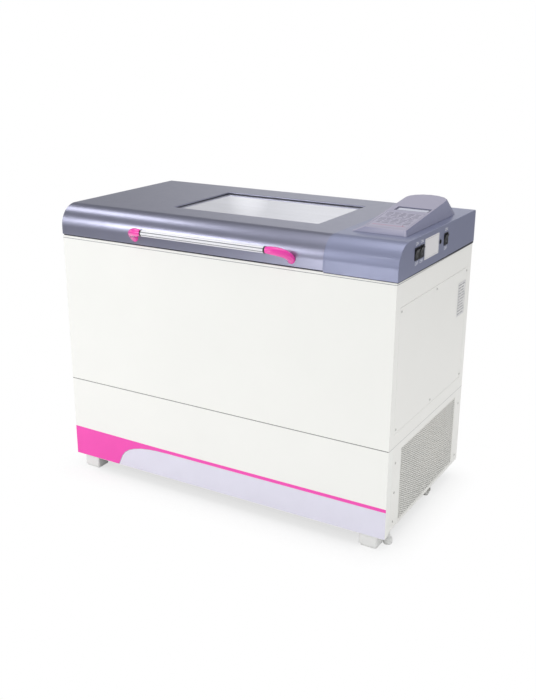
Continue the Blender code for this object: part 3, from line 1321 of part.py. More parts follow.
def drive_base():
    """A bridge on the base frame, with a bearing column for each crank."""
    x = (IDLER_XS["left"] - DRIVE_PLATE_END, IDLER_XS["right"] + DRIVE_PLATE_END)
    y = (DRIVE_Y - DRIVE_PLATE_HALF_DEPTH, DRIVE_Y + DRIVE_PLATE_HALF_DEPTH)
    made = box("drive_base", x, y, (DRIVE_PLATE_BOTTOM, DRIVE_PLATE_TOP))
    leg_z = (BEAM_TOP + SEAT_GAP, DRIVE_PLATE_BOTTOM + WELD)
    for column, leg_x in enumerate((IDLER_XS["left"], MOTOR_X)):
        for row, sign in enumerate((-1, 1)):
            leg_y = DRIVE_Y + sign * DRIVE_LEG_Y
            span_x = (leg_x - DRIVE_LEG / 2, leg_x + DRIVE_LEG / 2)
            span_y = (leg_y - DRIVE_LEG / 2, leg_y + DRIVE_LEG / 2)
            fuse(made, box(f"leg_{column}_{row}", span_x, span_y, leg_z))
    columns = [("main", DRIVE_X, MAIN_COLUMN_RADIUS, MAIN_SHAFT_RADIUS)]
    columns += [(side, x, IDLER_COLUMN_RADIUS, IDLER_SHAFT_RADIUS) for side, x in IDLER_XS.items()]
    for name, centre_x, outer, shaft in columns:
        tall = (DRIVE_PLATE_TOP - WELD, COLUMN_TOP)
        fuse(made, round_bar(f"column_{name}", "Z", (centre_x, DRIVE_Y), outer, tall))
        bore = (DRIVE_PLATE_BOTTOM - OVERRUN, COLUMN_TOP + OVERRUN)
        cut(made, round_bar(f"bore_{name}", "Z", (centre_x, DRIVE_Y), over_flats(shaft + FIT_GAP), bore))
    paint(made, DARK_STEEL)


def crank(name, x, shaft_radius, disc_radius, bottom):
    """A shaft, a disc on top of its column and a pin set out by the orbit's radius."""
    made = round_bar(name, "Z", (x, DRIVE_Y), disc_radius, (DISC_BOTTOM, DISC_TOP))
    fuse(made, round_bar(f"{name}_shaft", "Z", (x, DRIVE_Y), shaft_radius, (bottom, DISC_BOTTOM + WELD)))
    pin = (x + ORBIT_RADIUS, DRIVE_Y)
    fuse(made, round_bar(f"{name}_pin", "Z", pin, CRANK_PIN_RADIUS, (DISC_TOP - WELD, PIN_TOP), SMALL_SIDES))
    carry(pivot(f"{name}_axis", (x, DRIVE_Y, DISC_BOTTOM)), made)
    paint(made, ZINC)
    return made


def cranks():
    main = crank("main_crank", DRIVE_X, MAIN_SHAFT_RADIUS, MAIN_COLUMN_RADIUS, PULLEY_BOTTOM)
    pulley = (PULLEY_BOTTOM, PULLEY_TOP)
    centre = (DRIVE_X, DRIVE_Y)
    fuse(main, round_bar("main_pulley", "Z", centre, MAIN_PULLEY_RADIUS, pulley, LARGE_SIDES))
    for side, x in IDLER_XS.items():
        crank(f"idler_crank_{side}", x, IDLER_SHAFT_RADIUS, IDLER_COLUMN_RADIUS, DRIVE_PLATE_BOTTOM)


def platform():
    """The shaken tray: a rimmed sheet with a boss under it for each crank's pin."""
    x, y = PLATFORM_X, PLATFORM_Y
    floor = PLATFORM_BOTTOM + PLATFORM_SHEET
    wall_z = (PLATFORM_BOTTOM, PLATFORM_BOTTOM + PLATFORM_RIM)
    made = prism("platform", rounded(x, y, PLATFORM_RADIUS), "Z", wall_z)
    inner = rounded(grown(x, -PLATFORM_RIM_WALL), grown(y, -PLATFORM_RIM_WALL), PLATFORM_RADIUS)
    cut(made, prism("platform_hollow", inner, "Z", (floor, floor + PLATFORM_RIM)))
    for name, crank_x in (("main", DRIVE_X), *IDLER_XS.items()):
        pin = (crank_x + ORBIT_RADIUS, DRIVE_Y)
        boss = (BOSS_BOTTOM, PLATFORM_BOTTOM + WELD)
        fuse(made, round_bar(f"boss_{name}", "Z", pin, PLATFORM_BOSS_RADIUS, boss))
        bore = (BOSS_BOTTOM - OVERRUN, PLATFORM_BOTTOM + FIT_GAP)
        bore_radius = over_flats(CRANK_PIN_RADIUS + SEAT_GAP, SMALL_SIDES)
        cut(made, round_bar(f"boss_bore_{name}", "Z", pin, bore_radius, bore, SMALL_SIDES))
    paint(made, ALUMINIUM)
    margin = -PLATFORM_RIM_WALL - RUNNING_GAP
    tray = clamp_tray(grown(x, margin), grown(y, margin), floor)
    carry(pivot("platform_axis", (DRIVE_X + ORBIT_RADIUS, DRIVE_Y, PLATFORM_BOTTOM)), made, tray)


def clamp_tray(x, y, floor):
    """A thin plate with rows of flask clamps, each a base with upright fingers."""
    bottom = floor + SEAT_GAP
    top = bottom + CLAMP_PLATE
    made = prism("clamp_tray", rounded(x, y, PLATFORM_RADIUS), "Z", (bottom, top))
    for column in range(CLAMP_COLUMNS):
        for row in range(CLAMP_ROWS):
            middle_x = x[0] + (x[1] - x[0]) * (2 * column + 1) / (2 * CLAMP_COLUMNS)
            middle_y = y[0] + (y[1] - y[0]) * (2 * row + 1) / (2 * CLAMP_ROWS)
            middle = (middle_x, middle_y)
            name = f"clamp_{column}_{row}"
            base = (top - WELD, top + CLAMP_BASE)
            fuse(made, round_bar(f"{name}_base", "Z", middle, CLAMP_BASE_RADIUS, base, SMALL_SIDES))
            for finger in range(CLAMP_FINGERS):
                turn = math.pi * (2 * finger + 1) / CLAMP_FINGERS
                piece = box(
                    f"{name}_finger_{finger}",
                    (-CLAMP_FINGER_SHEET / 2, CLAMP_FINGER_SHEET / 2),
                    (-CLAMP_FINGER_WIDTH / 2, CLAMP_FINGER_WIDTH / 2),
                    (0, CLAMP_FINGER_HEIGHT),
                )
                reach = CLAMP_RADIUS - CLAMP_FINGER_SHEET
                piece.location = (middle_x + reach * math.cos(turn), middle_y + reach * math.sin(turn), top)
                piece.rotation_euler = (0, 0, turn)
                fuse(made, piece)
    paint(made, LINER_STEEL)
    return made


def belt_outline(margin):
    """The outline round both pulleys, taut between its two outer tangents."""
    large = MAIN_PULLEY_RADIUS + margin
    small = MOTOR_PULLEY_RADIUS + margin
    lean = math.degrees(math.acos((large - small) / MOTOR_OFFSET))
    outline = arc((DRIVE_X, DRIVE_Y), over_flats(large, LARGE_SIDES), lean, 360 - lean, LARGE_SIDES)
    outline += arc((MOTOR_X, DRIVE_Y), over_flats(small, LARGE_SIDES), -lean, lean, LONG_ARC_STEPS)
    return outline


def drive_belt():
    inner = belt_outline(RUNNING_GAP / 2)
    outer = belt_outline(RUNNING_GAP / 2 + BELT_THICKNESS)
    z = grown((PULLEY_BOTTOM, PULLEY_TOP), -BELT_MARGIN)
    paint(frame("drive_belt", outer, inner, "Z", z), RUBBER)


def drive_motor():
    """The motor on its beam, bored for the pulley's shaft."""
    centre = (MOTOR_X, DRIVE_Y)
    bottom = BEAM_TOP + SEAT_GAP
    made = round_bar("drive_motor", "Z", centre, MOTOR_RADIUS, (bottom, MOTOR_TOP), LARGE_SIDES)
    half = MOTOR_RADIUS + MOTOR_FLANGE_MARGIN
    x = (MOTOR_X - half, MOTOR_X + half)
    y = (DRIVE_Y - half, DRIVE_Y + half)
    fuse(made, box("motor_flange", x, y, (bottom, bottom + MOTOR_FLANGE)))
    bore = (MOTOR_TOP - MOTOR_SHAFT_DEPTH, MOTOR_TOP + OVERRUN)
    cut(made, round_bar("motor_bore", "Z", centre, over_flats(MOTOR_SHAFT_RADIUS + FIT_GAP), bore))
    paint(made, GREY_PLASTIC)


def motor_pulley():
    centre = (MOTOR_X, DRIVE_Y)
    made = round_bar("motor_pulley", "Z", centre, MOTOR_PULLEY_RADIUS, (PULLEY_BOTTOM, PULLEY_TOP))
    shaft = (MOTOR_TOP - MOTOR_SHAFT_DEPTH + FIT_GAP, PULLEY_BOTTOM + WELD)
    fuse(made, round_bar("motor_shaft", "Z", centre, MOTOR_SHAFT_RADIUS, shaft))
    paint(made, ZINC)
    carry(pivot("motor_pulley_axis", (MOTOR_X, DRIVE_Y, PULLEY_BOTTOM)), made)


# Air and refrigeration


def air_duct_cover():
    """A folded cover on the chamber's right wall, with a fan opening and outlet slots."""
    x = (DUCT_LEFT, CHAMBER_RIGHT - SEAT_GAP)
    y = (DUCT_FRONT, DUCT_BACK)
    z = (DUCT_BOTTOM, DUCT_TOP)
    made = box("air_duct_cover", x, y, z)
    hollow_x = (x[0] + DUCT_SHEET, x[1] + OVERRUN)
    cut(made, box("duct_hollow", hollow_x, grown(y, -DUCT_SHEET), grown(z, -DUCT_SHEET)))
    face = (x[0] - OVERRUN, x[0] + OVERRUN / 2)
    cut(made, round_bar("duct_fan_hole", "X", (FAN_Y, FAN_Z), FAN_RADIUS + FAN_OPENING_GAP, face))
    slot_y = grown(y, -DUCT_SLOT_MARGIN)
    for number in range(DUCT_SLOTS):
        low = DUCT_BOTTOM + DUCT_SLOT_MARGIN + 2 * DUCT_SLOT * number
        cut(made, box(f"duct_slot_{number}", face, slot_y, (low, low + DUCT_SLOT)))
    paint(made, LINER_STEEL)


def fan(name, centre, hub_x, radius, hub_radius, tail):
    """A fan about X: a hub, tilted blades and a shaft that runs back to its tail."""
    made = round_bar(name, "X", centre, hub_radius, (hub_x, hub_x + FAN_THICKNESS))
    middle = hub_x + FAN_THICKNESS / 2
    for number in range(FAN_BLADES):
        turn = 2 * math.pi * number / FAN_BLADES
        blade = box(
            f"{name}_blade_{number}",
            (-FAN_BLADE_SHEET / 2, FAN_BLADE_SHEET / 2),
            (-FAN_BLADE_WIDTH / 2, FAN_BLADE_WIDTH / 2),
            (hub_radius - FAN_BLADE_SHEET, radius),
        )
        blade.rotation_mode = "ZYX"
        blade.rotation_euler = (turn, 0, math.radians(FAN_BLADE_DEGREES))
        blade.location = (middle, *centre)
        fuse(made, blade)
    shaft = sorted((middle, tail))
    fuse(made, round_bar(f"{name}_shaft", "X", centre, FAN_SHAFT_RADIUS, shaft, SMALL_SIDES))
    carry(pivot(f"{name}_axis", (middle, *centre)), made)
    paint(made, GREY_PLASTIC)


def circulation_motor():
    centre = (FAN_Y, FAN_Z)
    start = JACKET_RIGHT + SEAT_GAP
    span = (start, start + FAN_MOTOR_LENGTH)
    made = round_bar("circulation_motor", "X", centre, FAN_MOTOR_RADIUS, span)
    half = FAN_MOTOR_RADIUS + FAN_MOTOR_FLANGE
    y = (FAN_Y - half, FAN_Y + half)
    z = (FAN_Z - half, FAN_Z + half)
    fuse(made, box("circulation_flange", (start, start + FAN_MOTOR_FLANGE), y, z))
    bore = (start - OVERRUN, start + FAN_MOTOR_LENGTH / 2)
    bore_radius = over_flats(FAN_SHAFT_RADIUS + FIT_GAP, SMALL_SIDES)
    cut(made, round_bar("circulation_bore", "X", centre, bore_radius, bore, SMALL_SIDES))
    paint(made, GREY_PLASTIC)


def finned_outline(x, y, fins):
    """A block in plan whose left face is cut into fins."""
    pitch = (y[1] - y[0]) / (2 * fins - 1)
    outline = [(x[1], y[0])]
    for index in range(2 * fins - 1):
        depth = x[0] if index % 2 == 0 else x[0] + FIN_GROOVE
        outline.append((depth, y[0] + pitch * index))
        outline.append((depth, y[0] + pitch * (index + 1)))
    outline.append((x[1], y[1]))
    return outline


def evaporator_coil():
    right = CHAMBER_RIGHT - SEAT_GAP
    x = (right - EVAPORATOR_DEPTH, right)
    y = grown((DUCT_FRONT, DUCT_BACK), -EVAPORATOR_MARGIN)
    low = DUCT_BOTTOM + EVAPORATOR_MARGIN
    outline = finned_outline(x, y, EVAPORATOR_FINS)
    paint(prism("evaporator_coil", outline, "Z", (low, low + EVAPORATOR_HEIGHT)), ALUMINIUM)


def compressor():
    """A hermetic can on a base plate."""
    bottom = BEAM_TOP + SEAT_GAP
    half = COMPRESSOR_BASE_WIDTH / 2
    x = (COMPRESSOR_X - half, COMPRESSOR_X + half)
    y = (COMPRESSOR_Y - half, COMPRESSOR_Y + half)
    made = box("compressor", x, y, (bottom, bottom + COMPRESSOR_BASE))
    rings = []
    low = bottom + COMPRESSOR_BASE - WELD
    crown = COMPRESSOR_RADIUS / 2
    for step in range(ARC_STEPS + 1):
        turn = math.radians(90 * step / (ARC_STEPS + 1))
        radius = COMPRESSOR_RADIUS * math.cos(turn)
        rings.append((radius, low + COMPRESSOR_HEIGHT - crown + crown * math.sin(turn)))
    rings.insert(0, (COMPRESSOR_RADIUS, low))
    can = [
        [(a, b, z) for a, b in circle((COMPRESSOR_X, COMPRESSOR_Y), radius)] for radius, z in rings
    ]
    fuse(made, loft("compressor_can", can))
    paint(made, BLACK_PLASTIC)


def condenser():
    """A finned coil with a shroud, and a bracket on its foot that holds the fan's bearing."""
    bottom = FRAME_TOP + SEAT_GAP
    right = BODY_HALF_WIDTH - CONDENSER_INSET
    back = BODY_REAR - CONDENSER_BACK_MARGIN
    x = (right - CONDENSER_DEPTH, right)
    y = (back - CONDENSER_WIDTH, back)
    outline = finned_outline(x, y, CONDENSER_FINS)
    made = prism("condenser_coil", outline, "Z", (bottom, bottom + CONDENSER_HEIGHT))
    middle = ((y[0] + y[1]) / 2, bottom + CONDENSER_HEIGHT / 2)
    shroud_x = (x[0] - SHROUD, x[0] + WELD)
    opening = circle(middle, CONDENSER_FAN_RADIUS + FAN_OPENING_GAP, LARGE_SIDES)
    shroud_y = grown(y, -WELD)
    shroud_z = (bottom + WELD, bottom + CONDENSER_HEIGHT - WELD)
    fuse(made, box("shroud", shroud_x, shroud_y, shroud_z))
    cut(made, prism("shroud_opening", opening, "X", (shroud_x[0] - OVERRUN, x[0] - SEAT_GAP)))
    hub_x = x[0] - SHROUD - FAN_THICKNESS / 2
    boss_x = (hub_x - SEAT_GAP - FAN_BOSS, hub_x - SEAT_GAP)
    bar_x = (boss_x[0] - FAN_BRACKET, boss_x[0] + WELD)
    bar_y = (middle[0] - FAN_BRACKET_WIDTH / 2, middle[0] + FAN_BRACKET_WIDTH / 2)
    foot_z = (bottom, bottom + COMPRESSOR_BASE)
    fuse(made, box("fan_foot", (bar_x[0], x[0] + WELD), bar_y, foot_z))
    fuse(made, box("fan_bar", bar_x, grown(bar_y, -WELD), (bottom + WELD, middle[1])))
    fuse(made, round_bar("fan_boss", "X", middle, CONDENSER_FAN_HUB, boss_x))
    bore = over_flats(FAN_SHAFT_RADIUS + SEAT_GAP, SMALL_SIDES)
    bore_x = (boss_x[0] + WELD, hub_x + OVERRUN)
    cut(made, round_bar("fan_boss_bore", "X", middle, bore, bore_x, SMALL_SIDES))
    paint(made, COPPER)
    fan("condenser_fan", middle, hub_x, CONDENSER_FAN_RADIUS, CONDENSER_FAN_HUB, boss_x[0] + 2 * WELD)


def clear_scene():
    for old in list(bpy.data.objects):
        bpy.data.objects.remove(old, do_unlink=True)


clear_scene()
MACHINE = bpy.data.objects.new("machine", None)
MACHINE.location = (0, MACHINE_Y, 0)
bpy.context.scene.collection.objects.link(MACHINE)

base_frame()
for foot_side, foot_sign in (("left", -1), ("right", 1)):
    front_foot(foot_side, foot_sign)
    caster(foot_side, foot_sign)
front_panel()
plinth_panel()
left_side_panel()
right_side_panel()
grille_panel()
back_panel()
power_inlet()
top_deck()
chamber_liner()
insulation_jacket()
hinge_base()
lid()
for strut_side, (strut_wall, strut_inward) in STRUT_SIDES.items():
    gas_strut(strut_side, strut_wall, strut_inward)
control_housing()
for rocker_name, rocker_y in zip(("rocker_power", "rocker_lamp", "rocker_aux"), ROCKER_YS):
    rocker(rocker_name, rocker_y)
reset_button()
console_housing()
display_lens()
keypad_plate()
for key_number, (key_x, key_y) in enumerate(key_places()):
    keypad_key(key_number + 1, key_x, key_y)
drive_base()
cranks()
platform()
drive_motor()
motor_pulley()
drive_belt()
air_duct_cover()
circulation_motor()
fan(
    "circulation_fan",
    (FAN_Y, FAN_Z),
    DUCT_LEFT + DUCT_SHEET + RUNNING_GAP,
    FAN_RADIUS,
    FAN_HUB_RADIUS,
    JACKET_RIGHT + SEAT_GAP + FAN_MOTOR_LENGTH / 2 - FIT_GAP,
)
evaporator_coil()
compressor()
condenser()
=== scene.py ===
import json
import math

import bmesh
import bpy
from mathutils import Matrix, Vector

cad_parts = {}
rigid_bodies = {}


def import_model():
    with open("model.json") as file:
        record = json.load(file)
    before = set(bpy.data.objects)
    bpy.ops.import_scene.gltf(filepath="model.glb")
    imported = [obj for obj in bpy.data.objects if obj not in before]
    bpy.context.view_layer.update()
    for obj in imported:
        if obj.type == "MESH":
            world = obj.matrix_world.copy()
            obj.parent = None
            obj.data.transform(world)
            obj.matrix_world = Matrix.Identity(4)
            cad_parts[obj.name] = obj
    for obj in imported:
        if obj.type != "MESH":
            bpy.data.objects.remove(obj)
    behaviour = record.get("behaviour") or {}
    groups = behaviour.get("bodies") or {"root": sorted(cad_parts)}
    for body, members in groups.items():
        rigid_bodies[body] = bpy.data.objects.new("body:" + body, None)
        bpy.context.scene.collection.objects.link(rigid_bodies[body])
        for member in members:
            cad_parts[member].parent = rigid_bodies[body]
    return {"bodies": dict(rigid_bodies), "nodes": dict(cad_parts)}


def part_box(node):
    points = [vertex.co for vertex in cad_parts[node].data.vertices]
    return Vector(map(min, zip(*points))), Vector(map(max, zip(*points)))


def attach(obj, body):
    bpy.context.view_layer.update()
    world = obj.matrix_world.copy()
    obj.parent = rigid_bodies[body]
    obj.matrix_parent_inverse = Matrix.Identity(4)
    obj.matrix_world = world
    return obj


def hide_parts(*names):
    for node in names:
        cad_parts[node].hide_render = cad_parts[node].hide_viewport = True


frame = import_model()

# The scene starts with only the machine in it
NODES = frame["nodes"]
for stray in list(bpy.data.objects):
    if stray not in frame["bodies"].values() and stray not in NODES.values():
        bpy.data.objects.remove(stray)
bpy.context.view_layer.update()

# Camera, from the machine's corners in the photograph
CAMERA_PLACE = (1.66527, -2.80770, 1.62025)
CAMERA_AZIMUTH = 30.35
CAMERA_ELEVATION = 19.05
CAMERA_ROLL = 0.205
CAMERA_LENS = 47.93

# Sizes in metres, in the row frame
THIN = 0.0002
SEAM = 0.0003
OVERRUN = 0.02
WELD = 0.001

SHARP_ANGLE = 35
CORNER_STEPS = 6
NOSE_STEPS = 28
BACK_STEPS = 14
LID_WALL = 0.003
LID_FRONT_RADIUS = 0.075
LID_BACK_RADIUS = 0.008
LID_EDGE = 0.0028
CONSOLE_EDGE = 0.0025
JOINT_DEPTH = 0.0022
PANE_MARGIN = 0.008
WELL_WALL = 0.004
WELL_CORNER = 0.006
SEAL_WIDTH = 0.0016
SEAL_HEIGHT = 0.0030

HANDLE_RIBS = 6
HANDLE_RIB = 0.0026
RIB_SHARPNESS = 3
RIB_STEPS = 24
GRIP_CORE = 0.0013
GRIP_INSET = 0.0006
HANDLE_COLLAR = 0.005
COLLAR_LIP = 0.003
COLLAR_ROUND = 0.0003
ARM_STEPS = 28
ARM_CAP = 0.002
HANDLE_FOOT_OUT = 0.064
HANDLE_FOOT_DROP = 0.030
HANDLE_DROP_EASE = 2.4
BRACKET_NECK = 0.0108
NECK_SHARE = 0.3
BRACKET_RADIUS = 0.0129
BRACKET_FOOT_RADIUS = 0.016

BEZEL_PROUD = 0.0015
BEZEL_MARGIN = 0.0035
RIM_EDGE = 0.0006
ROCKER_HALF = 0.0155
ROCKER_HALF_TALL = 0.017
ROCKERS = {"power": -0.1845, "lamp": -0.1455, "aux": 0.0665}
ROCKER_Z = 0.9735
ROCKER_PIVOT_DEPTH = 0.004
ROCKER_FACE = 0.006
ROCKER_DISH = 0.002
ROCKER_HALF_FACE = 0.015
ROCKER_TILT = 8
MARK_SIZE = 0.0075
MARK_RISE = 0.0075
LABEL_SIZE = 0.0150
LABEL_OFFSET = 0.0310
BUTTON_PLACE = (0.016, 0.973)
BUTTON_HOLE = 0.0056
BUTTON_RING = 0.0080
PLATE_Y = (-0.1205, 0.0015)
PLATE_Z = (0.9395, 1.0065)
RATING_Y = (0.236, 0.312)
RATING_Z = (0.659, 0.784)
RATING_ROWS = 11
RATING_ROW = 0.0052
RATING_PRINT = 0.0036
RATING_LIFT_SHARE = 0.3
SPLIT_WAVE = (0.34, 0.12, 2.1)
END_WAVE = (0.86, 0.12, 1.3)
SPLIT_GAP_SHARE = 0.08
PLATE_THICKNESS = 0.0006
PLATE_CORNER = 0.003
PLATE_BORDER = 0.004
PLATE_EDGE = 0.0002
PLATE_LINE = 0.0006
LINE_EDGE = 0.00002

CONSOLE_FACE_FRONT_INSET = 0.020
CONSOLE_FACE_BACK_INSET = 0.090
CONSOLE_FRONT_HEIGHT = 0.014
CONSOLE_RISE = 0.047
DISPLAY_HALF = (0.0576, 0.0188)
DISPLAY_FRAME = 0.0045
DISPLAY_RECESS = 0.003
DISPLAY_CORNER = 0.002
DISPLAY_RISE = 0.0016
DISPLAY_EDGE = 0.0004
KEYPAD_HALF = (0.064, 0.080)
KEY_PROUD = 0.0012
KEY_MARK = 0.0026
PRINT_ROWS = (0.068, 0.057, 0.046, 0.035, 0.002, -0.010, -0.024, -0.038)
PRINT_COLUMNS = 5
PRINT_HEIGHT = 0.0034
PRINT_SPREAD_SHARE = 0.92
PRINT_HALF = 0.0082
PRINT_SWING = 0.0026
PRINT_PACE = (1.7, 2.3)
TRIM_LINE = (0.056, 0.0011, -0.062)
LAMP_DOT = (0.044, -0.055, 0.0022)
LAMP_DOME = ((1, 0.0001), (0.8, 0.0007), (0.3, 0.001))
MARK_TALL_SHARE = 0.7
MARK_WIDE_SHARE = 0.9

STRIPE_Z = (0.148, 0.160)
PINK_TOP_LEFT = 0.1655
PINK_FOOT = (
    (-0.446, 0.052), (-0.443, 0.058), (-0.436, 0.073), (-0.427, 0.092), (-0.414, 0.108), (-0.396, 0.121),
    (-0.372, 0.131), (-0.342, 0.139), (-0.305, 0.1445), (-0.265, 0.1475), (-0.225, 0.148),
)
CURVE_LINE = 0.0022
SEAM_LINE = 0.0009
PANEL_SEAM = (0.3616, 0.3643)
PINK_KNEE = -0.25
# Dark strips that paint the shadow under the lid's front edge and under the control housing
LID_SHADOW_DEPTHS = (0.0045, 0.007)
SIDE_SHADOW_DROPS = (0.0018, 0.0065)
SIDE_SHADOW_OUT = 0.0022
FRONT_SHADOW_STRIP = (0.0014, 0.0012)

MESH_PITCH = 0.0128
MESH_STRAND = 0.0023
MESH_LEAN = 1.7
MESH_RIM = 0.005
MESH_EDGE = 0.0003

SCREW_RADIUS = 0.0042
SCREW_HEIGHT = 0.0016
SCREW_SLOT = 0.0010
SCREW_PROFILE_SHARES = ((1, 0), (1, 0.35), (0.82, 0.8), (0.4, 1))
SLOT_REACH_SHARE = 0.55
SLOT_FLOOR_SHARE = 0.4
SIDE_SCREWS = (
    (-0.275, 0.812), (0.022, 0.814), (0.313, 0.814), (0.313, 0.424), (0.020, 0.424), (-0.275, 0.424),
    (-0.262, 0.302), (-0.262, 0.196), (-0.262, 0.090), (0.328, 0.302), (0.328, 0.090),
)
LEFT_SCREW_Y = (-0.300, 0.018, 0.338)
BACK_SCREW_X = (-0.620, -0.310, 0.0, 0.310, 0.620)
SHEET_SCREW_Z = (0.085, 0.470, 0.885)

LOUVRE_X = ((-0.42, -0.12), (0.12, 0.42))
LOUVRE_Z = 0.130
LOUVRES = 9
LOUVRE_PITCH = 0.022
LOUVRE_HEIGHT = 0.011
LOUVRE_PROUD = 0.007
LOUVRE_PROFILE_SHARES = ((1, 0), (0.86, 0.45), (0.4, 0.85))
LOUVRE_EDGE = 0.0012
MOUTH_INSET = 0.004
MOUTH_OUT = 0.005
MOUTH_DROP = 0.0012
INLET_EARS = (0.007, 0.001)
INLET_CORNER = 0.006
INLET_THICKNESS = 0.0016
INLET_EDGE = 0.0004

WHEEL_GROOVE = 0.0014
TYRE_SHOULDER = ((0.004, 0), (0.0012, 0.0012), (0, 0.0036))
HUB_RADIUS = 0.0145
HUB_RISE = 0.0005
HUB_HOLES = 5
HUB_HOLE_RING = 0.0095
HUB_HOLE = 0.0021
HUB_EDGE = 0.0003
NUT_RADIUS = 0.0048
NUT_START = 0.0052
NUT_PROFILE = ((1, 0), (1, 0.002), (0.6, 0.0032))
GLIDE_PLACE = (0.633, -0.251)
GLIDE_RADIUS = 0.0155
GLIDE_PROFILE = ((0.9, 0), (1, 0.003), (1, 0.016), (0.85, 0.021), (0.55, 0.025), (0.5, 0.031), (0.4, 0.031))
STEM_SHARE = 0.4
STEM_OVERLAP = 0.002

GUARD_PLACE = (-0.082, 0.770)
GUARD_RADII = (0.016, 0.028, 0.040, 0.052)
GUARD_WIRE = 0.0011
GUARD_SPOKES = 4
SPOKE_OVERHANG = 0.005
CLAMP_COLUMNS = 4
CLAMP_ROWS = 2
CLAMP_SPRING_RADIUS = 0.0505
CLAMP_SPRING_RISE = 0.036
SPRING_WIRE = 0.0010
TRAY_THICKNESS = 0.0023
KNOB_RADIUS = 0.007
KNOB_INSET = 0.022
KNOB_PROFILE = ((1.3, 0), (1.3, 0.001), (1, 0.001), (1, 0.011), (0.8, 0.0125))
KNOB_EDGE = 0.0004

COMPRESSOR_RADIUS = 0.065
COMPRESSOR_SEAM_RISE = 0.105
COMPRESSOR_SEAM = ((0.0004, -0.004), (0.003, -0.003), (0.003, 0.003), (0.0004, 0.004))
TERMINAL_START_SHARE = 0.93
TERMINAL_OUT = 0.030
TERMINAL_HALF = 0.026
TERMINAL_RISES = (0.012, 0.062)
TERMINAL_EDGE = 0.004
PIPE_RADIUS = 0.004
PIPE_RISE = 0.028
PIPE_START = (
    (-0.02, 0.02, -0.012), (-0.02, 0.02, 0.012), (-0.014, 0.034, PIPE_RISE), (0.03, 0.10, PIPE_RISE),
)
PIPE_END = ((0.05, 0.02), (0.056, 0.03))
PIPE_BEND = 0.008
PIPE_ENTRY = 0.004
PIPE_ROUNDS = 3
PIPE_CUT = 0.25

# Light and floor. Directions are azimuth and height, and reaches from a direction are angles, in degrees
AMBIENT = 0.85
AMBIENT_COLOUR = (0.99, 0.995, 1, 1)
WALL_COLOUR = (0.97, 0.98, 1, 1)
WALL_BANDS = (
    (-0.1, 0.4), (0.02, 0.7), (0.18, 0.95), (0.30, 0.55),
    (0.42, 0.15), (0.66, 0.15), (0.80, 0.55), (0.95, 0.5),
)
SCREEN_PLACE = (140, 14)
SCREEN_REACH = (10, 22)
SCREEN_LEVEL = 0.5
GLINT_PLACE = (121.6, 9.9)
GLINT_REACH = (0.0, 1.3)
GLINT_LEVEL = 0.35
FLOOR_REACH = 30
PAPER = 0.93
PAPER_MIRRORED = 0.25
SHEET_REACH = (2.6, 3.2)
CARD = ((-1.05, -3.2), (-0.2, -3.2), (-1.2, -6.0), (-2.55, -6.0))
CARD_HEIGHT = 0.02
CARD_LEVEL = 8.0
FOOTPRINT = (0.60, 0.30, 0)
FLOOR_FADE = (0.0, 0.15)
FLOOR_SHARES = (0.68, 1.0)
LAMPS = (
    ("left_softbox", (-2.5, -0.2, 3.6), (-0.2, -0.3, 1.0), (1.0, 1.0), 12),
    ("overhead", (0.4, 0.2, 3.6), (0.4, 0, 1.0), (2.0, 2.0), 18),
    ("front_fill", (-2.2, -3.1, 2.2), (0, -0.3, 0.7), (1.2, 0.9), 26),
    ("sparkle", (-0.6, -2.6, 2.6), (0, -0.4, 0.95), (0.12, 0.12), 2),
)


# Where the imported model's pieces lie
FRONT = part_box("front_panel")[0].y
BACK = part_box("back_panel")[1].y
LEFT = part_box("left_side_panel")[0].x
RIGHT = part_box("right_side_panel")[1].x
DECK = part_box("top_deck")
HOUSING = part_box("control_housing")
HOUSING_RIGHT = HOUSING[1].x - BEZEL_PROUD
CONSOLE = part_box("console_housing")
CONSOLE_FACE = (CONSOLE[0].y + CONSOLE_FACE_FRONT_INSET, CONSOLE[1].y - CONSOLE_FACE_BACK_INSET)
CONSOLE_SLOPE = CONSOLE_RISE / (CONSOLE_FACE[1] - CONSOLE_FACE[0])


# Shapes


def new_object(name, mesh):
    made = bpy.data.objects.new(name, mesh)
    bpy.context.scene.collection.objects.link(made)
    return made


def solid(name, points, faces):
    """A mesh from its corners and faces, turned outwards and shaded smooth."""
    mesh = bpy.data.meshes.new(name)
    shape = bmesh.new()
    corners = [shape.verts.new(point) for point in points]
    for face in faces:
        shape.faces.new([corners[index] for index in face])
    bmesh.ops.remove_doubles(shape, verts=shape.verts, dist=THIN / 100)
    bmesh.ops.recalc_face_normals(shape, faces=shape.faces)
    shape.to_mesh(mesh)
    shape.free()
    mesh.shade_smooth()
    mesh.set_sharp_from_angle(angle=math.radians(SHARP_ANGLE))
    return new_object(name, mesh)


def loft(name, rings, ends=True):
    """A skin through rings of equally many points."""
    count = len(rings[0])
    points = [point for ring in rings for point in ring]
    faces = [range(count), range(len(points) - count, len(points))] if ends else []
    for start in range(0, len(points) - count, count):
        for index in range(count):
            after = (index + 1) % count
            faces.append((start + index, start + after, start + after + count, start + index + count))
    return solid(name, points, faces)


def placed(axis, first, second, along):
    """The point with these coordinates: the two across the axis, in X, Y, Z order, and the one along it."""
    return {
        "X": (along, first, second),
        "Y": (first, along, second),
        "Z": (first, second, along),
    }[axis]


def prism(name, outline, axis, span):
    return loft(name, [[placed(axis, a, b, along) for a, b in outline] for along in span])


def frame_ring(name, outer, inner, axis, span):
    """A flat ring between two outlines of equally many points."""
    low, high = span
    sides = ((outer, low), (outer, high), (inner, high), (inner, low))
    rings = [[placed(axis, a, b, along) for a, b in outline] for outline, along in sides]
    return loft(name, rings + rings[:1], False)


def rectangle(a, b):
    return [(a[0], b[0]), (a[1], b[0]), (a[1], b[1]), (a[0], b[1])]


def box(name, x, y, z):
    return prism(name, rectangle(x, y), "Z", z)


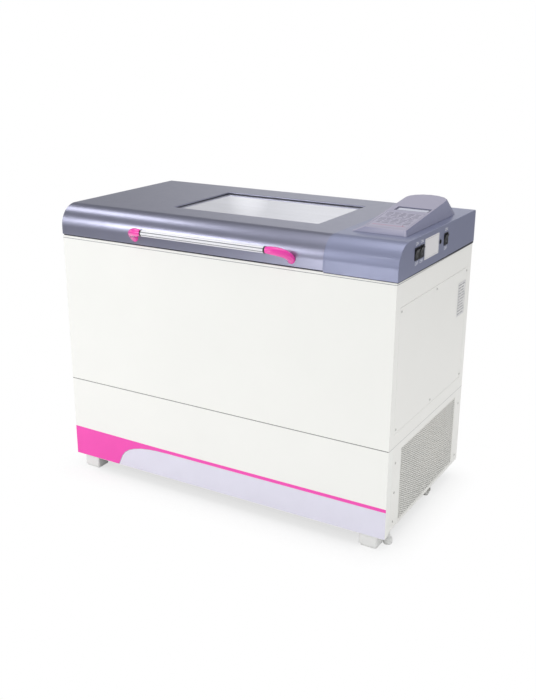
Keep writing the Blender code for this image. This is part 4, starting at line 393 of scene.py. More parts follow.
def arc(centre, radius, start, end, steps):
    angles = [math.radians(start + (end - start) * step / steps) for step in range(steps + 1)]
    return [(centre[0] + radius * math.cos(a), centre[1] + radius * math.sin(a)) for a in angles]


def circle(centre, radius, sides=32):
    return arc(centre, radius, 0, 360, sides)[:-1]


def rounded(a, b, radius):
    corners = (
        ((a[1] - radius, b[1] - radius), 0),
        ((a[0] + radius, b[1] - radius), 90),
        ((a[0] + radius, b[0] + radius), 180),
        ((a[1] - radius, b[0] + radius), 270),
    )
    arcs = [arc(centre, radius, start, start + 90, CORNER_STEPS) for centre, start in corners]
    return [point for corner in arcs for point in corner]


def centre(low, high, *axes):
    """The middle of a box along these axes."""
    return tuple((getattr(low, axis) + getattr(high, axis)) / 2 for axis in axes)


def stepped(profile, radius, start=0, sign=1):
    """Pairs of radius and place from shares of a radius and steps from a start."""
    return [(radius * share, start + sign * along) for share, along in profile]


def grown(span, margin):
    return (span[0] - margin, span[1] + margin)


def turned(name, profile, axis, centre, sides=32):
    """A turned solid from pairs of radius and place along the axis."""
    rings = []
    for radius, along in profile:
        rings.append([placed(axis, a, b, along) for a, b in circle(centre, radius, sides)])
    return loft(name, rings)


def swept(name, path, radius, sides):
    """A round tube along a path of points."""
    points = [Vector(point) for point in path]
    side = None
    rings = []
    for index, point in enumerate(points):
        ahead = points[min(index + 1, len(points) - 1)] - points[max(index - 1, 0)]
        ahead.normalize()
        if side is None:
            side = ahead.orthogonal().normalized()
        side = (side - ahead * side.dot(ahead)).normalized()
        up = ahead.cross(side)
        ring = [point + side * a + up * b for a, b in circle((0, 0), radius, sides)]
        rings.append([tuple(corner) for corner in ring])
    return loft(name, rings)


def carved(target, pieces, operation="DIFFERENCE"):
    """The target with the pieces cut away or fused on. The pieces are used up."""
    for piece in pieces:
        step = target.modifiers.new(piece.name, "BOOLEAN")
        step.operation = operation
        step.solver = "EXACT"
        step.object = piece
    shape = bpy.data.meshes.new_from_object(target.evaluated_get(bpy.context.evaluated_depsgraph_get()))
    target.modifiers.clear()
    target.data = shape
    for piece in pieces:
        bpy.data.objects.remove(piece)
    return target


def softened(piece, width, segments=2):
    """Rounds a piece's edges."""
    step = piece.modifiers.new("edges", "BEVEL")
    step.width = width
    step.segments = segments
    step.limit_method = "ANGLE"
    step.angle_limit = math.radians(SHARP_ANGLE)
    return shaded(piece)


def shaded(piece):
    shade = piece.modifiers.new("shading", "WEIGHTED_NORMAL")
    shade.keep_sharp = False
    return piece


def finished(piece, finish, body, slot, *replaced):
    """Gives a piece its material and the body that it rides on. The slot is not used."""
    piece.data.materials.clear()
    piece.data.materials.append(finish)
    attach(piece, body)
    if replaced:
        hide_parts(*replaced)
    return piece


def kept(node, finish, edge, segments=2):
    """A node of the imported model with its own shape, a finish and rounded edges."""
    piece = NODES[node]
    piece.data.materials.clear()
    piece.data.materials.append(finish)
    for face in piece.data.polygons:
        face.use_smooth = True
        face.material_index = 0
    weld = piece.modifiers.new("joined", "WELD")
    weld.merge_threshold = THIN / 10
    if edge:
        softened(piece, edge, segments)
    else:
        shaded(piece)


def facing(across, up, out):
    """The turn that lays a piece's own X, Y and Z along these directions."""
    return Matrix((across, up, out)).transposed().to_4x4()


FACING = {
    "back": facing((-1, 0, 0), (0, 0, 1), (0, 1, 0)),
    "left": facing((0, -1, 0), (0, 0, 1), (-1, 0, 0)),
    "right": facing((0, 1, 0), (0, 0, 1), (1, 0, 0)),
}


def lettering(name, words, size, turn, finish, body, slot):
    """Printed letters with this place and turn."""
    curve = bpy.data.curves.new(name, "FONT")
    curve.body = words
    curve.size = size
    curve.align_x = "CENTER"
    curve.align_y = "CENTER"
    curve.extrude = THIN / 4
    written = new_object(f"{name}_curve", curve)
    shape = bpy.data.meshes.new_from_object(written.evaluated_get(bpy.context.evaluated_depsgraph_get()))
    bpy.data.objects.remove(written)
    made = new_object(name, shape)
    made.matrix_world = turn
    return finished(made, finish, body, slot)


# Finishes


def seen(red, green, blue):
    """A colour as seen, out of 255, in the scene's linear values."""
    def linear(value):
        share = value / 255
        return share / 12.92 if share <= 0.04045 else ((share + 0.055) / 1.055) ** 2.4
    return (linear(red), linear(green), linear(blue), 1)


def scaled(colour, factor):
    return tuple(min(value * factor, 1) for value in colour[:3]) + (1,)


def added(tree, kind, *sources, **settings):
    """A new node with these settings, fed by these sources in the order of its inputs."""
    made = tree.nodes.new(kind)
    for key, value in settings.items():
        setattr(made, key, value)
    for index, source in enumerate(sources):
        tree.links.new(source, made.inputs[index])
    return made


def put(node, **values):
    """Sets a node's inputs, named with an underscore for each space."""
    for socket, value in values.items():
        node.inputs[socket.replace("_", " ")].default_value = value
    return node


class Finish:
    """A material whose colour, roughness and relief come from textures in the machine's coordinates."""

    def __init__(self, name, colour, roughness, metallic=0.0, **sockets):
        self.material = bpy.data.materials.new(name)
        self.material.use_nodes = True
        self.tree = self.material.node_tree
        self.colour = colour
        self.shader = self.tree.nodes["Principled BSDF"]
        put(self.shader, Base_Color=colour, Roughness=roughness, Metallic=metallic, **sockets)
        self.place = self.node("ShaderNodeTexCoord").outputs["Object"]
        self.normal = None

    def node(self, kind, *sources):
        return added(self.tree, kind, *sources)

    def link(self, source, socket):
        self.tree.links.new(source, self.shader.inputs[socket])

    def stretched(self, scale):
        return put(self.node("ShaderNodeMapping", self.place), Scale=scale).outputs["Vector"]

    def noise(self, scale, detail, stretch=(1, 1, 1), rough=0.5):
        texture = self.node("ShaderNodeTexNoise", self.stretched(stretch))
        return put(texture, Scale=scale, Detail=detail, Roughness=rough).outputs["Fac"]

    def cells(self, scale):
        texture = self.node("ShaderNodeTexVoronoi", self.stretched((1, 1, 1)))
        return put(texture, Scale=scale).outputs["Distance"]

    def ramp(self, value, low, high, start, end):
        ramp = self.node("ShaderNodeValToRGB", value)
        first, last = ramp.color_ramp.elements
        first.position, first.color = start, low
        last.position, last.color = end, high
        return ramp.outputs["Color"]

    def tint(self, value, darker, lighter, start=0.3, end=0.7):
        ends = [scaled(self.colour, factor) for factor in (darker, lighter)]
        self.link(self.ramp(value, *ends, start, end), "Base Color")

    def gloss(self, value, low, high):
        spread = put(self.node("ShaderNodeMapRange", value), To_Min=low, To_Max=high)
        self.link(spread.outputs["Result"], "Roughness")

    def relief(self, value, height, strength):
        bump = put(self.node("ShaderNodeBump"), Distance=height, Strength=strength)
        self.tree.links.new(value, bump.inputs["Height"])
        if self.normal is not None:
            self.tree.links.new(self.normal, bump.inputs["Normal"])
        self.normal = bump.outputs["Normal"]
        self.link(self.normal, "Normal")


def coated_sheet(name, colour, roughness=0.42):
    """Powder-coated sheet: a fine orange peel, the faint waves of a pressed sheet and slight soiling."""
    made = Finish(name, colour, roughness)
    made.tint(made.noise(2.2, 4), 0.972, 1.0)
    made.gloss(made.noise(60, 3), roughness - 0.05, roughness + 0.07)
    made.relief(made.noise(5, 1), 0.0006, 0.5)
    made.relief(made.noise(900, 2), 0.00005, 0.6)
    return made.material


def moulded(name, colour, roughness, metallic):
    """Painted moulding with a fine metal fleck under a thin clear coat."""
    made = Finish(name, colour, roughness, metallic, Coat_Weight=0.25, Coat_Roughness=0.18)
    made.tint(made.noise(1600, 2, rough=0.7), 0.95, 1.05)
    made.gloss(made.noise(35, 3), roughness - 0.04, roughness + 0.05)
    made.relief(made.noise(1400, 2), 0.00003, 0.5)
    return made.material


def paint_lit_from_above(name, flank, face, roughness, metallic, start, end):
    """Paint with painted light: a darker colour on the flanks turns into a lighter one on faces that look up,
    as if lit from above.
    """
    made = Finish(name, flank, roughness, metallic, Coat_Weight=0.2, Coat_Roughness=0.18)
    parts = made.node("ShaderNodeSeparateXYZ", made.node("ShaderNodeTexCoord").outputs["Normal"])
    # painted light: the colour follows how far the surface faces up, lighter on top and darker on the flanks
    made.link(made.ramp(parts.outputs["Z"], flank, face, start, end), "Base Color")
    made.gloss(made.noise(35, 3), roughness - 0.04, roughness + 0.05)
    made.relief(made.noise(1400, 2), 0.00003, 0.5)
    return made.material


def brushed(name, colour, roughness, stretch, metallic=1.0):
    """Brushed metal whose scratches run along one axis."""
    made = Finish(name, colour, roughness, metallic)
    made.tint(made.noise(3, 3), 0.92, 1.03)
    fine = made.noise(1, 4, stretch, 0.7)
    made.gloss(fine, roughness - 0.08, roughness + 0.12)
    made.relief(fine, 0.00004, 0.5)
    return made.material


def plated(name, colour, roughness):
    """Zinc plate, with its faint crystals."""
    made = Finish(name, colour, roughness, 1.0)
    made.tint(made.cells(160), 0.86, 1.06, 0.1, 0.6)
    made.gloss(made.noise(80, 3), roughness - 0.08, roughness + 0.14)
    made.relief(made.noise(700, 2), 0.00003, 0.4)
    return made.material


def plastic(name, colour, roughness, coat=0.0):
    made = Finish(name, colour, roughness, 0.0, Coat_Weight=coat, Coat_Roughness=0.05)
    made.tint(made.noise(18, 2), 0.985, 1.012)
    made.gloss(made.noise(120, 3), roughness - 0.04, roughness + 0.06)
    made.relief(made.noise(1800, 2), 0.00002, 0.5)
    return made.material


def rubbery(name, colour):
    made = Finish(name, colour, 0.8)
    made.tint(made.noise(40, 4), 0.8, 1.35)
    made.gloss(made.noise(150, 3), 0.7, 0.92)
    made.relief(made.noise(900, 3), 0.00008, 0.6)
    return made.material


def cut_foam(name, colour):
    made = Finish(name, colour, 0.95)
    made.tint(made.cells(420), 0.8, 1.08, 0.0, 0.6)
    made.relief(made.cells(420), 0.0006, 0.7)
    return made.material


def glass_pane(name, colour):
    clear = {"Transmission_Weight": 0.4, "IOR": 1.5, "Coat_Weight": 1.0, "Coat_Roughness": 0.05}
    made = Finish(name, colour, 0.04, 0.0, **clear)
    # The pane's pale silvery colour and its long horizontal streaks paint the reflection that the window
    # shows
    reflection_streaks = made.noise(1, 3, (3, 26, 1), 0.6)
    made.tint(reflection_streaks, 0.88, 1.06, 0.35, 0.65)
    made.gloss(made.noise(6, 3), 0.03, 0.09)
    return made.material


WHITE_SHEET = coated_sheet("white_sheet", seen(243, 243, 239))
SIDE_SHEET = coated_sheet("side_sheet", seen(242, 241, 237), 0.46)
PLINTH_SHEET = coated_sheet("plinth_sheet", seen(243, 243, 239), 0.38)
LID_PAINT = moulded("lid_paint", (0.354, 0.359, 0.474, 1), 0.32, 0.85)
HOUSING_PAINT = moulded("housing_paint", (0.29, 0.31, 0.455, 1), 0.36, 0.5)
# Lighter on the console's top face and darker on its flanks: painted light from above
CONSOLE_PAINT_TOP_LIT = paint_lit_from_above("console_paint", seen(122, 124, 152), seen(166, 163, 182), 0.45, 0.1, 0.80, 0.90)
KEYPAD_FILM = plastic("keypad_film", seen(168, 165, 182), 0.45)
INK = plastic("ink", seen(104, 103, 122), 0.5)
PINK_INK = plastic("pink_ink", seen(186, 120, 146), 0.5)
RED_LAMP = plastic("red_lamp", seen(150, 40, 60), 0.25, 0.5)
DISPLAY_GLASS = plastic("display_glass", seen(206, 208, 222), 0.12, 0.5)
PINK_FILM = plastic("pink_film", seen(244, 72, 180), 0.4, 0.1)
LILAC_FILM = plastic("lilac_film", seen(224, 222, 236), 0.35, 0.2)
GREY_LINE = plastic("grey_line", seen(158, 157, 162), 0.5)
SEAM_GREY = plastic("seam_grey", seen(128, 127, 126), 0.6)
PRINT_GREY = plastic("print_grey", seen(150, 150, 154), 0.5)
PINK_GLOSS = plastic("pink_gloss", seen(243, 62, 172), 0.12, 0.9)
BLACK = plastic("black_plastic", seen(20, 21, 25), 0.42)
BLACK_ENAMEL = plastic("black_enamel", seen(28, 28, 32), 0.3, 0.4)
GREY = plastic("grey_plastic", seen(96, 98, 106), 0.5)
# Grey for the handle's grooves: painted shade
GROOVE_SHADE_GREY = plastic("core_grey", seen(132, 133, 140), 0.5)
WHITE_PLASTIC = plastic("white_plastic", seen(232, 232, 230), 0.42)
LABEL = plastic("bare_label", seen(222, 220, 222), 0.45)
RATING_LABEL = plastic("rating_label", seen(228, 227, 226), 0.4)
WHITE_INK = plastic("white_ink", seen(226, 228, 238), 0.5)
ROCKER_INK = plastic("rocker_ink", seen(150, 151, 160), 0.5)
BAR_ALUMINIUM = plastic("bar_aluminium", seen(232, 231, 236), 0.3, 0.2)
ALUMINIUM = brushed("aluminium", seen(206, 208, 213), 0.3, (500, 6, 500))
STEEL = brushed("chamber_steel", seen(214, 216, 220), 0.3, (6, 500, 500), metallic=0.7)
FRAME_PAINT = coated_sheet("frame_paint", seen(66, 68, 74), 0.5)
MESH_PAINT = coated_sheet("mesh_paint", seen(234, 233, 228), 0.5)
SCREW_PAINT = plastic("screw_paint", seen(202, 202, 198), 0.35)
CASTER_GREY = plastic("caster_grey", seen(200, 199, 194), 0.45)
PALE_SEAM = plastic("pale_seam", seen(204, 203, 200), 0.6)
ZINC = plated("zinc", seen(186, 188, 192), 0.38)
RUBBER = rubbery("rubber", seen(42, 42, 45))
WHEEL_RUBBER = rubbery("wheel_rubber", seen(206, 205, 202))
# Dark rubber for the pane's seal and the lid's gasket; the same colour also paints shade: the shadow strips
# under the lid and the control housing, and the louvres' mouths
SEAL = rubbery("seal", seen(52, 53, 60))
FOAM = cut_foam("foam", seen(222, 206, 160))
COPPER = brushed("copper", seen(190, 118, 84), 0.32, (300, 8, 300))
COIL_FINS = brushed("coil_fins", seen(196, 180, 164), 0.42, (300, 8, 300))
# Pale silvery glass: its colour paints the window's reflection
PANE = glass_pane("pane", seen(208, 208, 222))
LINER_PLASTIC = plastic("lid_liner", seen(226, 228, 232), 0.4)


# Lid


def cover_profile(front, back, bottom, top, front_radius, back_radius):
    """A cover's section across X, with a bullnose front and a rounded back."""
    outline = [(front, bottom)]
    outline += arc((front + front_radius, top - front_radius), front_radius, 180, 90, NOSE_STEPS)
    outline += arc((back - back_radius, top - back_radius), back_radius, 90, 0, BACK_STEPS)
    return outline + [(back, bottom)]


def cover_hollow(low, high, right):
    """The room inside a cover, a wall's thickness in."""
    profile = cover_profile(
        low.y + LID_WALL, high.y - LID_WALL, low.z - OVERRUN, high.z - LID_WALL,
        LID_FRONT_RADIUS - LID_WALL, LID_BACK_RADIUS - LID_WALL,
    )
    return prism("hollow", profile, "X", (low.x + LID_WALL, right - LID_WALL))


def window():
    """The window opening's spans and the height of its well's bottom."""
    low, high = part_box("window_pane")
    return grown((low.x, high.x), -PANE_MARGIN), grown((low.y, high.y), -PANE_MARGIN), high.z + SEAM


def lid_cover():
    low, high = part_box("lid_shell")
    x, y, well_bottom = window()
    profile = cover_profile(low.y, high.y, low.z, high.z, LID_FRONT_RADIUS, LID_BACK_RADIUS)
    made = prism("lid_cover", profile, "X", (low.x, high.x))
    carved(made, [cover_hollow(low, high, high.x)])
    well = rounded(grown(x, WELL_WALL), grown(y, WELL_WALL), WELL_CORNER + WELL_WALL)
    carved(made, [prism("well", well, "Z", (well_bottom, high.z - WELD))], "UNION")
    mouth = (well_bottom - OVERRUN, high.z + OVERRUN)
    carved(made, [prism("mouth", rounded(x, y, WELL_CORNER), "Z", mouth)])
    softened(made, LID_EDGE, 3)
    finished(made, LID_PAINT, "lid", "lid_grey", "lid_shell")


def pane_seal():
    """The dark strip between the pane and the well's wall."""
    x, y, well_bottom = window()
    inner = rounded(grown(x, -SEAL_WIDTH), grown(y, -SEAL_WIDTH), WELL_CORNER)
    outer = rounded(grown(x, -SEAM), grown(y, -SEAM), WELL_CORNER)
    made = frame_ring("pane_seal", outer, inner, "Z", (well_bottom, well_bottom + SEAL_HEIGHT))
    finished(made, SEAL, "lid", "rubber")


def handle():
    low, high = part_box("handle_bar")
    middle = centre(low, high, "y", "z")
    radius = (high.z - low.z) / 2
    outline = []
    steps = RIB_STEPS * HANDLE_RIBS
    for step in range(steps):
        turn = 2 * math.pi * step / steps
        groove = (0.5 - 0.5 * math.cos(HANDLE_RIBS * turn)) ** RIB_SHARPNESS
        reach = radius - GRIP_INSET - HANDLE_RIB * groove
        outline.append((middle[0] + reach * math.cos(turn), middle[1] + reach * math.sin(turn)))
    bar = prism("handle_grip", outline, "X", (low.x, high.x))
    finished(bar, BAR_ALUMINIUM, "lid", "aluminium", "handle_bar")
    # A grey core just inside the grip, standing proud of the grooves' floors: painted shade along the grooves
    inside = circle(middle, radius - GRIP_INSET - GRIP_CORE, sides=60)
    core = prism("grip_core", inside, "X", grown((low.x, high.x), -WELD))
    finished(core, GROOVE_SHADE_GREY, "lid", "grey_plastic")
    for side, start, sign in (("left", low.x, -1), ("right", high.x, 1)):
        inner, outer = start - sign * HANDLE_COLLAR, start + sign * SEAM / 2
        profile = [
            (radius - COLLAR_LIP, inner), (radius - COLLAR_ROUND, inner), (radius, (inner + outer) / 2),
            (radius - COLLAR_ROUND, outer), (radius - COLLAR_LIP, outer),
        ]
        collar = turned(f"handle_collar_{side}", profile, "X", middle, sides=48)
        finished(collar, BLACK, "lid", "black_plastic")
        handle_arm(side, start, sign, middle)


def handle_arm(side, start, sign, middle):
    """A swept arm that leaves the bar's end sideways and turns back into the lid's face."""
    foot_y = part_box(f"handle_bracket_{side}")[1].y
    rings = []
    for step in range(ARM_STEPS + 1):
        share = step / ARM_STEPS
        turn = share * math.pi / 2
        ease = share ** HANDLE_DROP_EASE
        place = Vector((
            start + sign * (SEAM + HANDLE_FOOT_OUT * math.sin(turn)),
            middle[0] + (foot_y - middle[0]) * (1 - math.cos(turn)),
            middle[1] - HANDLE_FOOT_DROP * ease,
        ))
        radius = BRACKET_RADIUS + (BRACKET_FOOT_RADIUS - BRACKET_RADIUS) * share
        radius -= (BRACKET_RADIUS - BRACKET_NECK) * (1 - min(share / NECK_SHARE, 1)) ** 2
        if step == 0:
            rings.append(arm_ring(place, sign, turn, radius - ARM_CAP))
        rings.append(arm_ring(place, sign, turn, radius))
    made = loft(f"handle_arm_{side}", rings)
    finished(made, PINK_GLOSS, "lid", "handle_pink", f"handle_bracket_{side}")


def arm_ring(place, sign, turn, radius):
    ring = []
    for across, up in circle((0, 0), radius):
        x, y = sign * across * math.sin(turn), across * math.cos(turn)
        ring.append((place.x + x, place.y - y, place.z + up))
    return ring


# Control housing and its side


def rocker_spans(y):
    return (
        (y - ROCKER_HALF, y + ROCKER_HALF),
        (ROCKER_Z - ROCKER_HALF_TALL, ROCKER_Z + ROCKER_HALF_TALL),
    )


def housing_cover():
    low, high = HOUSING
    profile = cover_profile(low.y, high.y, low.z, high.z, LID_FRONT_RADIUS, LID_BACK_RADIUS)
    made = prism("housing_cover", profile, "X", (low.x, HOUSING_RIGHT))
    carved(made, [cover_hollow(low, high, HOUSING_RIGHT)])
    wall = (HOUSING_RIGHT - LID_WALL - WELD, HOUSING_RIGHT + OVERRUN)
    cutters = [prism("button_hole", circle(BUTTON_PLACE, BUTTON_HOLE), "X", wall)]
    for name, y in ROCKERS.items():
        cutters.append(prism(f"rocker_hole_{name}", rectangle(*rocker_spans(y)), "X", wall))
    carved(made, cutters)
    softened(made, LID_EDGE, 3)
    finished(made, HOUSING_PAINT, "cabinet", "housing_grey", "control_housing")


def joint_filler():
    """A plate between the lid and the housing, a little below both, so that the joint isn't a black slot."""
    low, high = HOUSING
    profile = cover_profile(
        low.y + JOINT_DEPTH, high.y - JOINT_DEPTH, low.z + WELD, high.z - JOINT_DEPTH,
        LID_FRONT_RADIUS - JOINT_DEPTH, LID_BACK_RADIUS - JOINT_DEPTH,
    )
    made = prism("joint_filler", profile, "X", (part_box("lid_shell")[1].x + SEAM, low.x - THIN))
    finished(made, HOUSING_PAINT, "cabinet", "housing_grey")


def rim(name, outer, inner, x, finish, slot, edge=RIM_EDGE):
    """A flat ring that lies against a side, from its two outlines across Y and Z."""
    made = prism(name, outer, "X", x)
    carved(made, [prism(f"{name}_hole", inner, "X", (x[0] - WELD, x[1] + OVERRUN))])
    softened(made, edge)
    return finished(made, finish, "cabinet", slot)


def switches():
    proud = (HOUSING_RIGHT + THIN, HOUSING_RIGHT + BEZEL_PROUD)
    for name, y in ROCKERS.items():
        across, up = rocker_spans(y)
        outer = rounded(grown(across, BEZEL_MARGIN), grown(up, BEZEL_MARGIN), BEZEL_MARGIN)
        rim(f"switch_bezel_{name}", outer, rectangle(across, up), proud, BLACK, "black_plastic")
        rocker_mark(name, y, "I", 1)
        rocker_mark(name, y, "O", -1)
        for words, sign in (("ON", 1), ("OFF", -1)):
            place = (HOUSING_RIGHT + THIN, y, ROCKER_Z + sign * LABEL_OFFSET)
            turn = Matrix.Translation(place) @ FACING["right"]
            label = f"label_{words.lower()}_{name}"
            lettering(label, words, LABEL_SIZE, turn, WHITE_INK, "cabinet", "panel_white")
    ring = circle(BUTTON_PLACE, BUTTON_RING)
    rim("button_ring", ring, circle(BUTTON_PLACE, BUTTON_HOLE), proud, BLACK, "black_plastic")


def rocker_mark(name, y, words, sign):
    """A mark on one half of a rocker's dished face."""
    lean = math.atan2(ROCKER_DISH, ROCKER_HALF_FACE)
    side, depth = math.sin(lean) * sign, math.cos(lean)
    on_half = Matrix((
        (0, side, depth, ROCKER_FACE + THIN + ROCKER_DISH * MARK_RISE / ROCKER_HALF_FACE),
        (1, 0, 0, 0),
        (0, depth, -side, sign * MARK_RISE),
        (0, 0, 0, 1),
    ))
    pivot = (HOUSING_RIGHT - ROCKER_PIVOT_DEPTH, y, ROCKER_Z)
    turn = Matrix.Translation(pivot) @ Matrix.Rotation(math.radians(ROCKER_TILT), 4, "Y") @ on_half
    kind = "on" if sign > 0 else "off"
    lettering(f"rocker_{kind}_{name}", words, MARK_SIZE, turn, ROCKER_INK, f"rocker_{name}", "panel_white")


def bare_plate(name, y, z, x, finish):
    """A thin blank plate with a fine border."""
    made = prism(name, rounded(y, z, PLATE_CORNER), "X", (x + THIN, x + PLATE_THICKNESS))
    softened(made, PLATE_EDGE)
    finished(made, finish, "cabinet", "panel_white")
    outer = rounded(grown(y, -PLATE_BORDER), grown(z, -PLATE_BORDER), PLATE_CORNER)
    inside = -PLATE_BORDER - PLATE_LINE
    inner = rounded(grown(y, inside), grown(z, inside), PLATE_CORNER)
    line = (x + PLATE_THICKNESS + THIN / 4, x + PLATE_THICKNESS + THIN)
    rim(f"{name}_border", outer, inner, line, GREY_LINE, "panel_white", LINE_EDGE)


def wave(row, middle, swing, pace):
    return middle + swing * math.sin(pace * row)


def plate_prints():
    """Rows of short grey bars on the bare plate at the side's back edge."""
    face = (RIGHT + PLATE_THICKNESS + THIN / 4, RIGHT + PLATE_THICKNESS + THIN)
    pitch = (RATING_Z[1] - RATING_Z[0] - 2 * RATING_ROW) / RATING_ROWS
    start = RATING_Y[0] + RATING_ROW
    width = RATING_Y[1] - RATING_Y[0] - 2 * RATING_ROW
    for row in range(RATING_ROWS):
        low = RATING_Z[0] + RATING_ROW + pitch * (row + RATING_LIFT_SHARE)
        split = wave(row, *SPLIT_WAVE)
        parts = ((0, split), (split + SPLIT_GAP_SHARE, wave(row, *END_WAVE)))
        for part, (first, last) in enumerate(parts):
            y = (start + first * width, start + last * width)
            strip(f"plate_print_{row}_{part}", face, y, (low, low + RATING_PRINT), PRINT_GREY, "panel_white")


# Console


def on_face(piece, x, y):
    """Lays a piece, written about its own origin, on the console's tilted face."""
    height = CONSOLE[0].z + CONSOLE_FRONT_HEIGHT + CONSOLE_SLOPE * (y - CONSOLE_FACE[0])
    tilt = Matrix.Rotation(math.atan(CONSOLE_SLOPE), 4, "X")
    piece.matrix_world = Matrix.Translation((x, y, height)) @ tilt
    return piece


def middle_of(node):
    return centre(*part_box(node), "x", "y")


def spread(half, margin=0.0):
    return (-half - margin, half + margin)


def display():
    x, y = middle_of("display_lens")
    outer = rectangle(spread(DISPLAY_HALF[0]), spread(DISPLAY_HALF[1]))
    inner = rounded(*(spread(half, -DISPLAY_FRAME) for half in DISPLAY_HALF), DISPLAY_CORNER)
    made = prism("display_frame", outer, "Z", (-DISPLAY_RECESS + THIN, -DISPLAY_RECESS + DISPLAY_RISE))
    carved(made, [prism("display_hole", inner, "Z", (-OVERRUN, OVERRUN))])
    softened(made, DISPLAY_EDGE)
    finished(on_face(made, x, y), INK, "cabinet", "keypad")


def keypad_prints():
    """Rows of short printed bars, a trim line and a pilot lamp on the keypad's film."""
    x, y = middle_of("keypad_plate")
    print_z = (THIN / 2, THIN)
    for row, along in enumerate(PRINT_ROWS):
        tall = (along - PRINT_HEIGHT / 2, along + PRINT_HEIGHT / 2)
        for column in range(PRINT_COLUMNS):
            place = KEYPAD_HALF[0] * (2 * (column + 0.5) / PRINT_COLUMNS - 1) * PRINT_SPREAD_SHARE
            half = PRINT_HALF + PRINT_SWING * math.sin(PRINT_PACE[0] * row + PRINT_PACE[1] * column)
            bar = box(f"print_{row}_{column}", (place - half, place + half), tall, print_z)
            finished(on_face(bar, x, y), INK, "cabinet", "keypad")
    half, width, along = TRIM_LINE
    line = box("trim_line", spread(half), (along - width, along + width), print_z)
    finished(on_face(line, x, y), PINK_INK, "cabinet", "keypad")
    across, along, radius = LAMP_DOT
    dome = turned("pilot_lamp", stepped(LAMP_DOME, radius), "Z", (across, along), sides=24)
    finished(on_face(dome, x, y), RED_LAMP, "cabinet", "keypad")


def key_marks():
    """A raised arrow, bar or dot on each key."""
    wide, tall = KEY_MARK, KEY_MARK * MARK_TALL_SHARE
    marks = (
        [(-wide, -tall), (wide, -tall), (0, wide)],
        [(-wide, tall), (0, -wide), (wide, tall)],
        circle((0, 0), KEY_MARK * MARK_WIDE_SHARE, sides=20),
        rectangle(spread(KEY_MARK * MARK_WIDE_SHARE), spread(KEY_MARK * MARK_WIDE_SHARE)),
    )
    for number, outline in enumerate(marks, start=1):
        x, y = middle_of(f"key_{number}")
        mark = prism(f"key_mark_{number}", outline, "Z", (KEY_PROUD + THIN / 4, KEY_PROUD + THIN))
        finished(on_face(mark, x, y), INK, f"key_{number}", "keypad")


# Cabinet's front, seams and plinth


def strip(name, x, y, z, finish, slot):
    return finished(box(name, x, y, z), finish, "cabinet", slot)


def seams():
    """Dark joints under the deck, and dark strips that paint the shadow under the lid's front edge and under
    the control housing.
    """
    level = DECK[0].z
    joint = (level - SEAM_LINE, level + SEAM_LINE)
    edge = (LEFT + WELD, RIGHT - WELD)
    strip("deck_seam_front", edge, (FRONT - THIN, FRONT + WELD), joint, GREY_LINE, "rubber")
    side = (FRONT + WELD, BACK - WELD)
    strip("deck_seam_right", (RIGHT - WELD, RIGHT + THIN), side, joint, GREY_LINE, "rubber")
    strip("deck_seam_left", (LEFT - THIN, LEFT + WELD), side, joint, GREY_LINE, "rubber")
    strip("panel_seam", edge, (FRONT - THIN, FRONT + WELD), PANEL_SEAM, SEAM_GREY, "rubber")
    strip("panel_seam_right", (RIGHT - WELD, RIGHT - THIN), side, PANEL_SEAM, PALE_SEAM, "rubber")
    top = DECK[1].z
    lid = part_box("lid_shell")
    # A dark strip in the gap between the deck and the lid's front edge: painted shadow under the lid
    lip = (top + THIN, lid[0].z - WELD / 2)
    depths = tuple(FRONT + depth for depth in LID_SHADOW_DEPTHS)
    strip("lid_lip", grown((lid[0].x, lid[1].x), -LID_WALL - WELD), depths, lip, SEAL, "rubber")
    # A dark wedge beneath the control housing's right side, thin at the front and deeper at the back: painted
    # shadow under the housing's overhang
    near, far = SIDE_SHADOW_DROPS
    wedge = [(FRONT, top - near), (BACK, top - far), (BACK, top + THIN), (FRONT, top + THIN)]
    seal = prism("housing_seal_right", wedge, "X", (RIGHT, RIGHT + SIDE_SHADOW_OUT))
    finished(seal, SEAL, "cabinet", "rubber")
    # A dark strip under the control housing's front: painted shadow
    out, drop = FRONT_SHADOW_STRIP
    depth, tall = (FRONT - out, FRONT), (top - drop, top + THIN)
    strip("housing_seal_front", (HOUSING[0].x, RIGHT), depth, tall, SEAL, "rubber")


def band(name, outline, finish, slot):
    """A film on the plinth's face, from its outline across X and Z."""
    made = prism(name, outline, "Y", (FRONT - THIN, FRONT - THIN / 4))
    return finished(made, finish, "cabinet", slot)


def plinth_bands():
    low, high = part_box("plinth_panel")
    bottom = low.z + WELD
    foot = list(PINK_FOOT)
    pink = [(low.x, bottom), (foot[0][0], bottom)] + foot
    pink += [(high.x, STRIPE_Z[0]), (high.x, STRIPE_Z[1])]
    pink += [(PINK_KNEE, STRIPE_Z[1] + WELD), (low.x, PINK_TOP_LEFT)]
    band("pink_band", pink, PINK_FILM, "handle_pink")
    # A thin grey line along the pink band's curved edge: a painted shadow line
    line = [(x + CURVE_LINE, z - CURVE_LINE / 3) for x, z in foot]
    band("curve_line", foot + line[::-1], GREY_LINE, "plinth_white")
    lilac = [(foot[0][0] + CURVE_LINE, bottom)] + line + [(high.x, STRIPE_Z[0]), (high.x, bottom)]
    band("lilac_band", lilac, LILAC_FILM, "plinth_white")


# Right side's screws and mesh


def screw_shape():
    """A low domed head with a cross recess, about its own origin."""
    profile = [(SCREW_RADIUS * wide, SCREW_HEIGHT * tall) for wide, tall in SCREW_PROFILE_SHARES]
    head = turned("screw_head", profile, "Z", (0, 0), sides=28)
    arm, thick = spread(SCREW_RADIUS * SLOT_REACH_SHARE), spread(SCREW_SLOT / 2)
    depth = (SCREW_HEIGHT * SLOT_FLOOR_SHARE, SCREW_HEIGHT + WELD)
    carved(head, [box("slot_a", arm, thick, depth), box("slot_b", thick, arm, depth)])
    shape = head.data
    shape.shade_smooth()
    shape.set_sharp_from_angle(angle=math.radians(SHARP_ANGLE))
    bpy.data.objects.remove(head)
    return shape


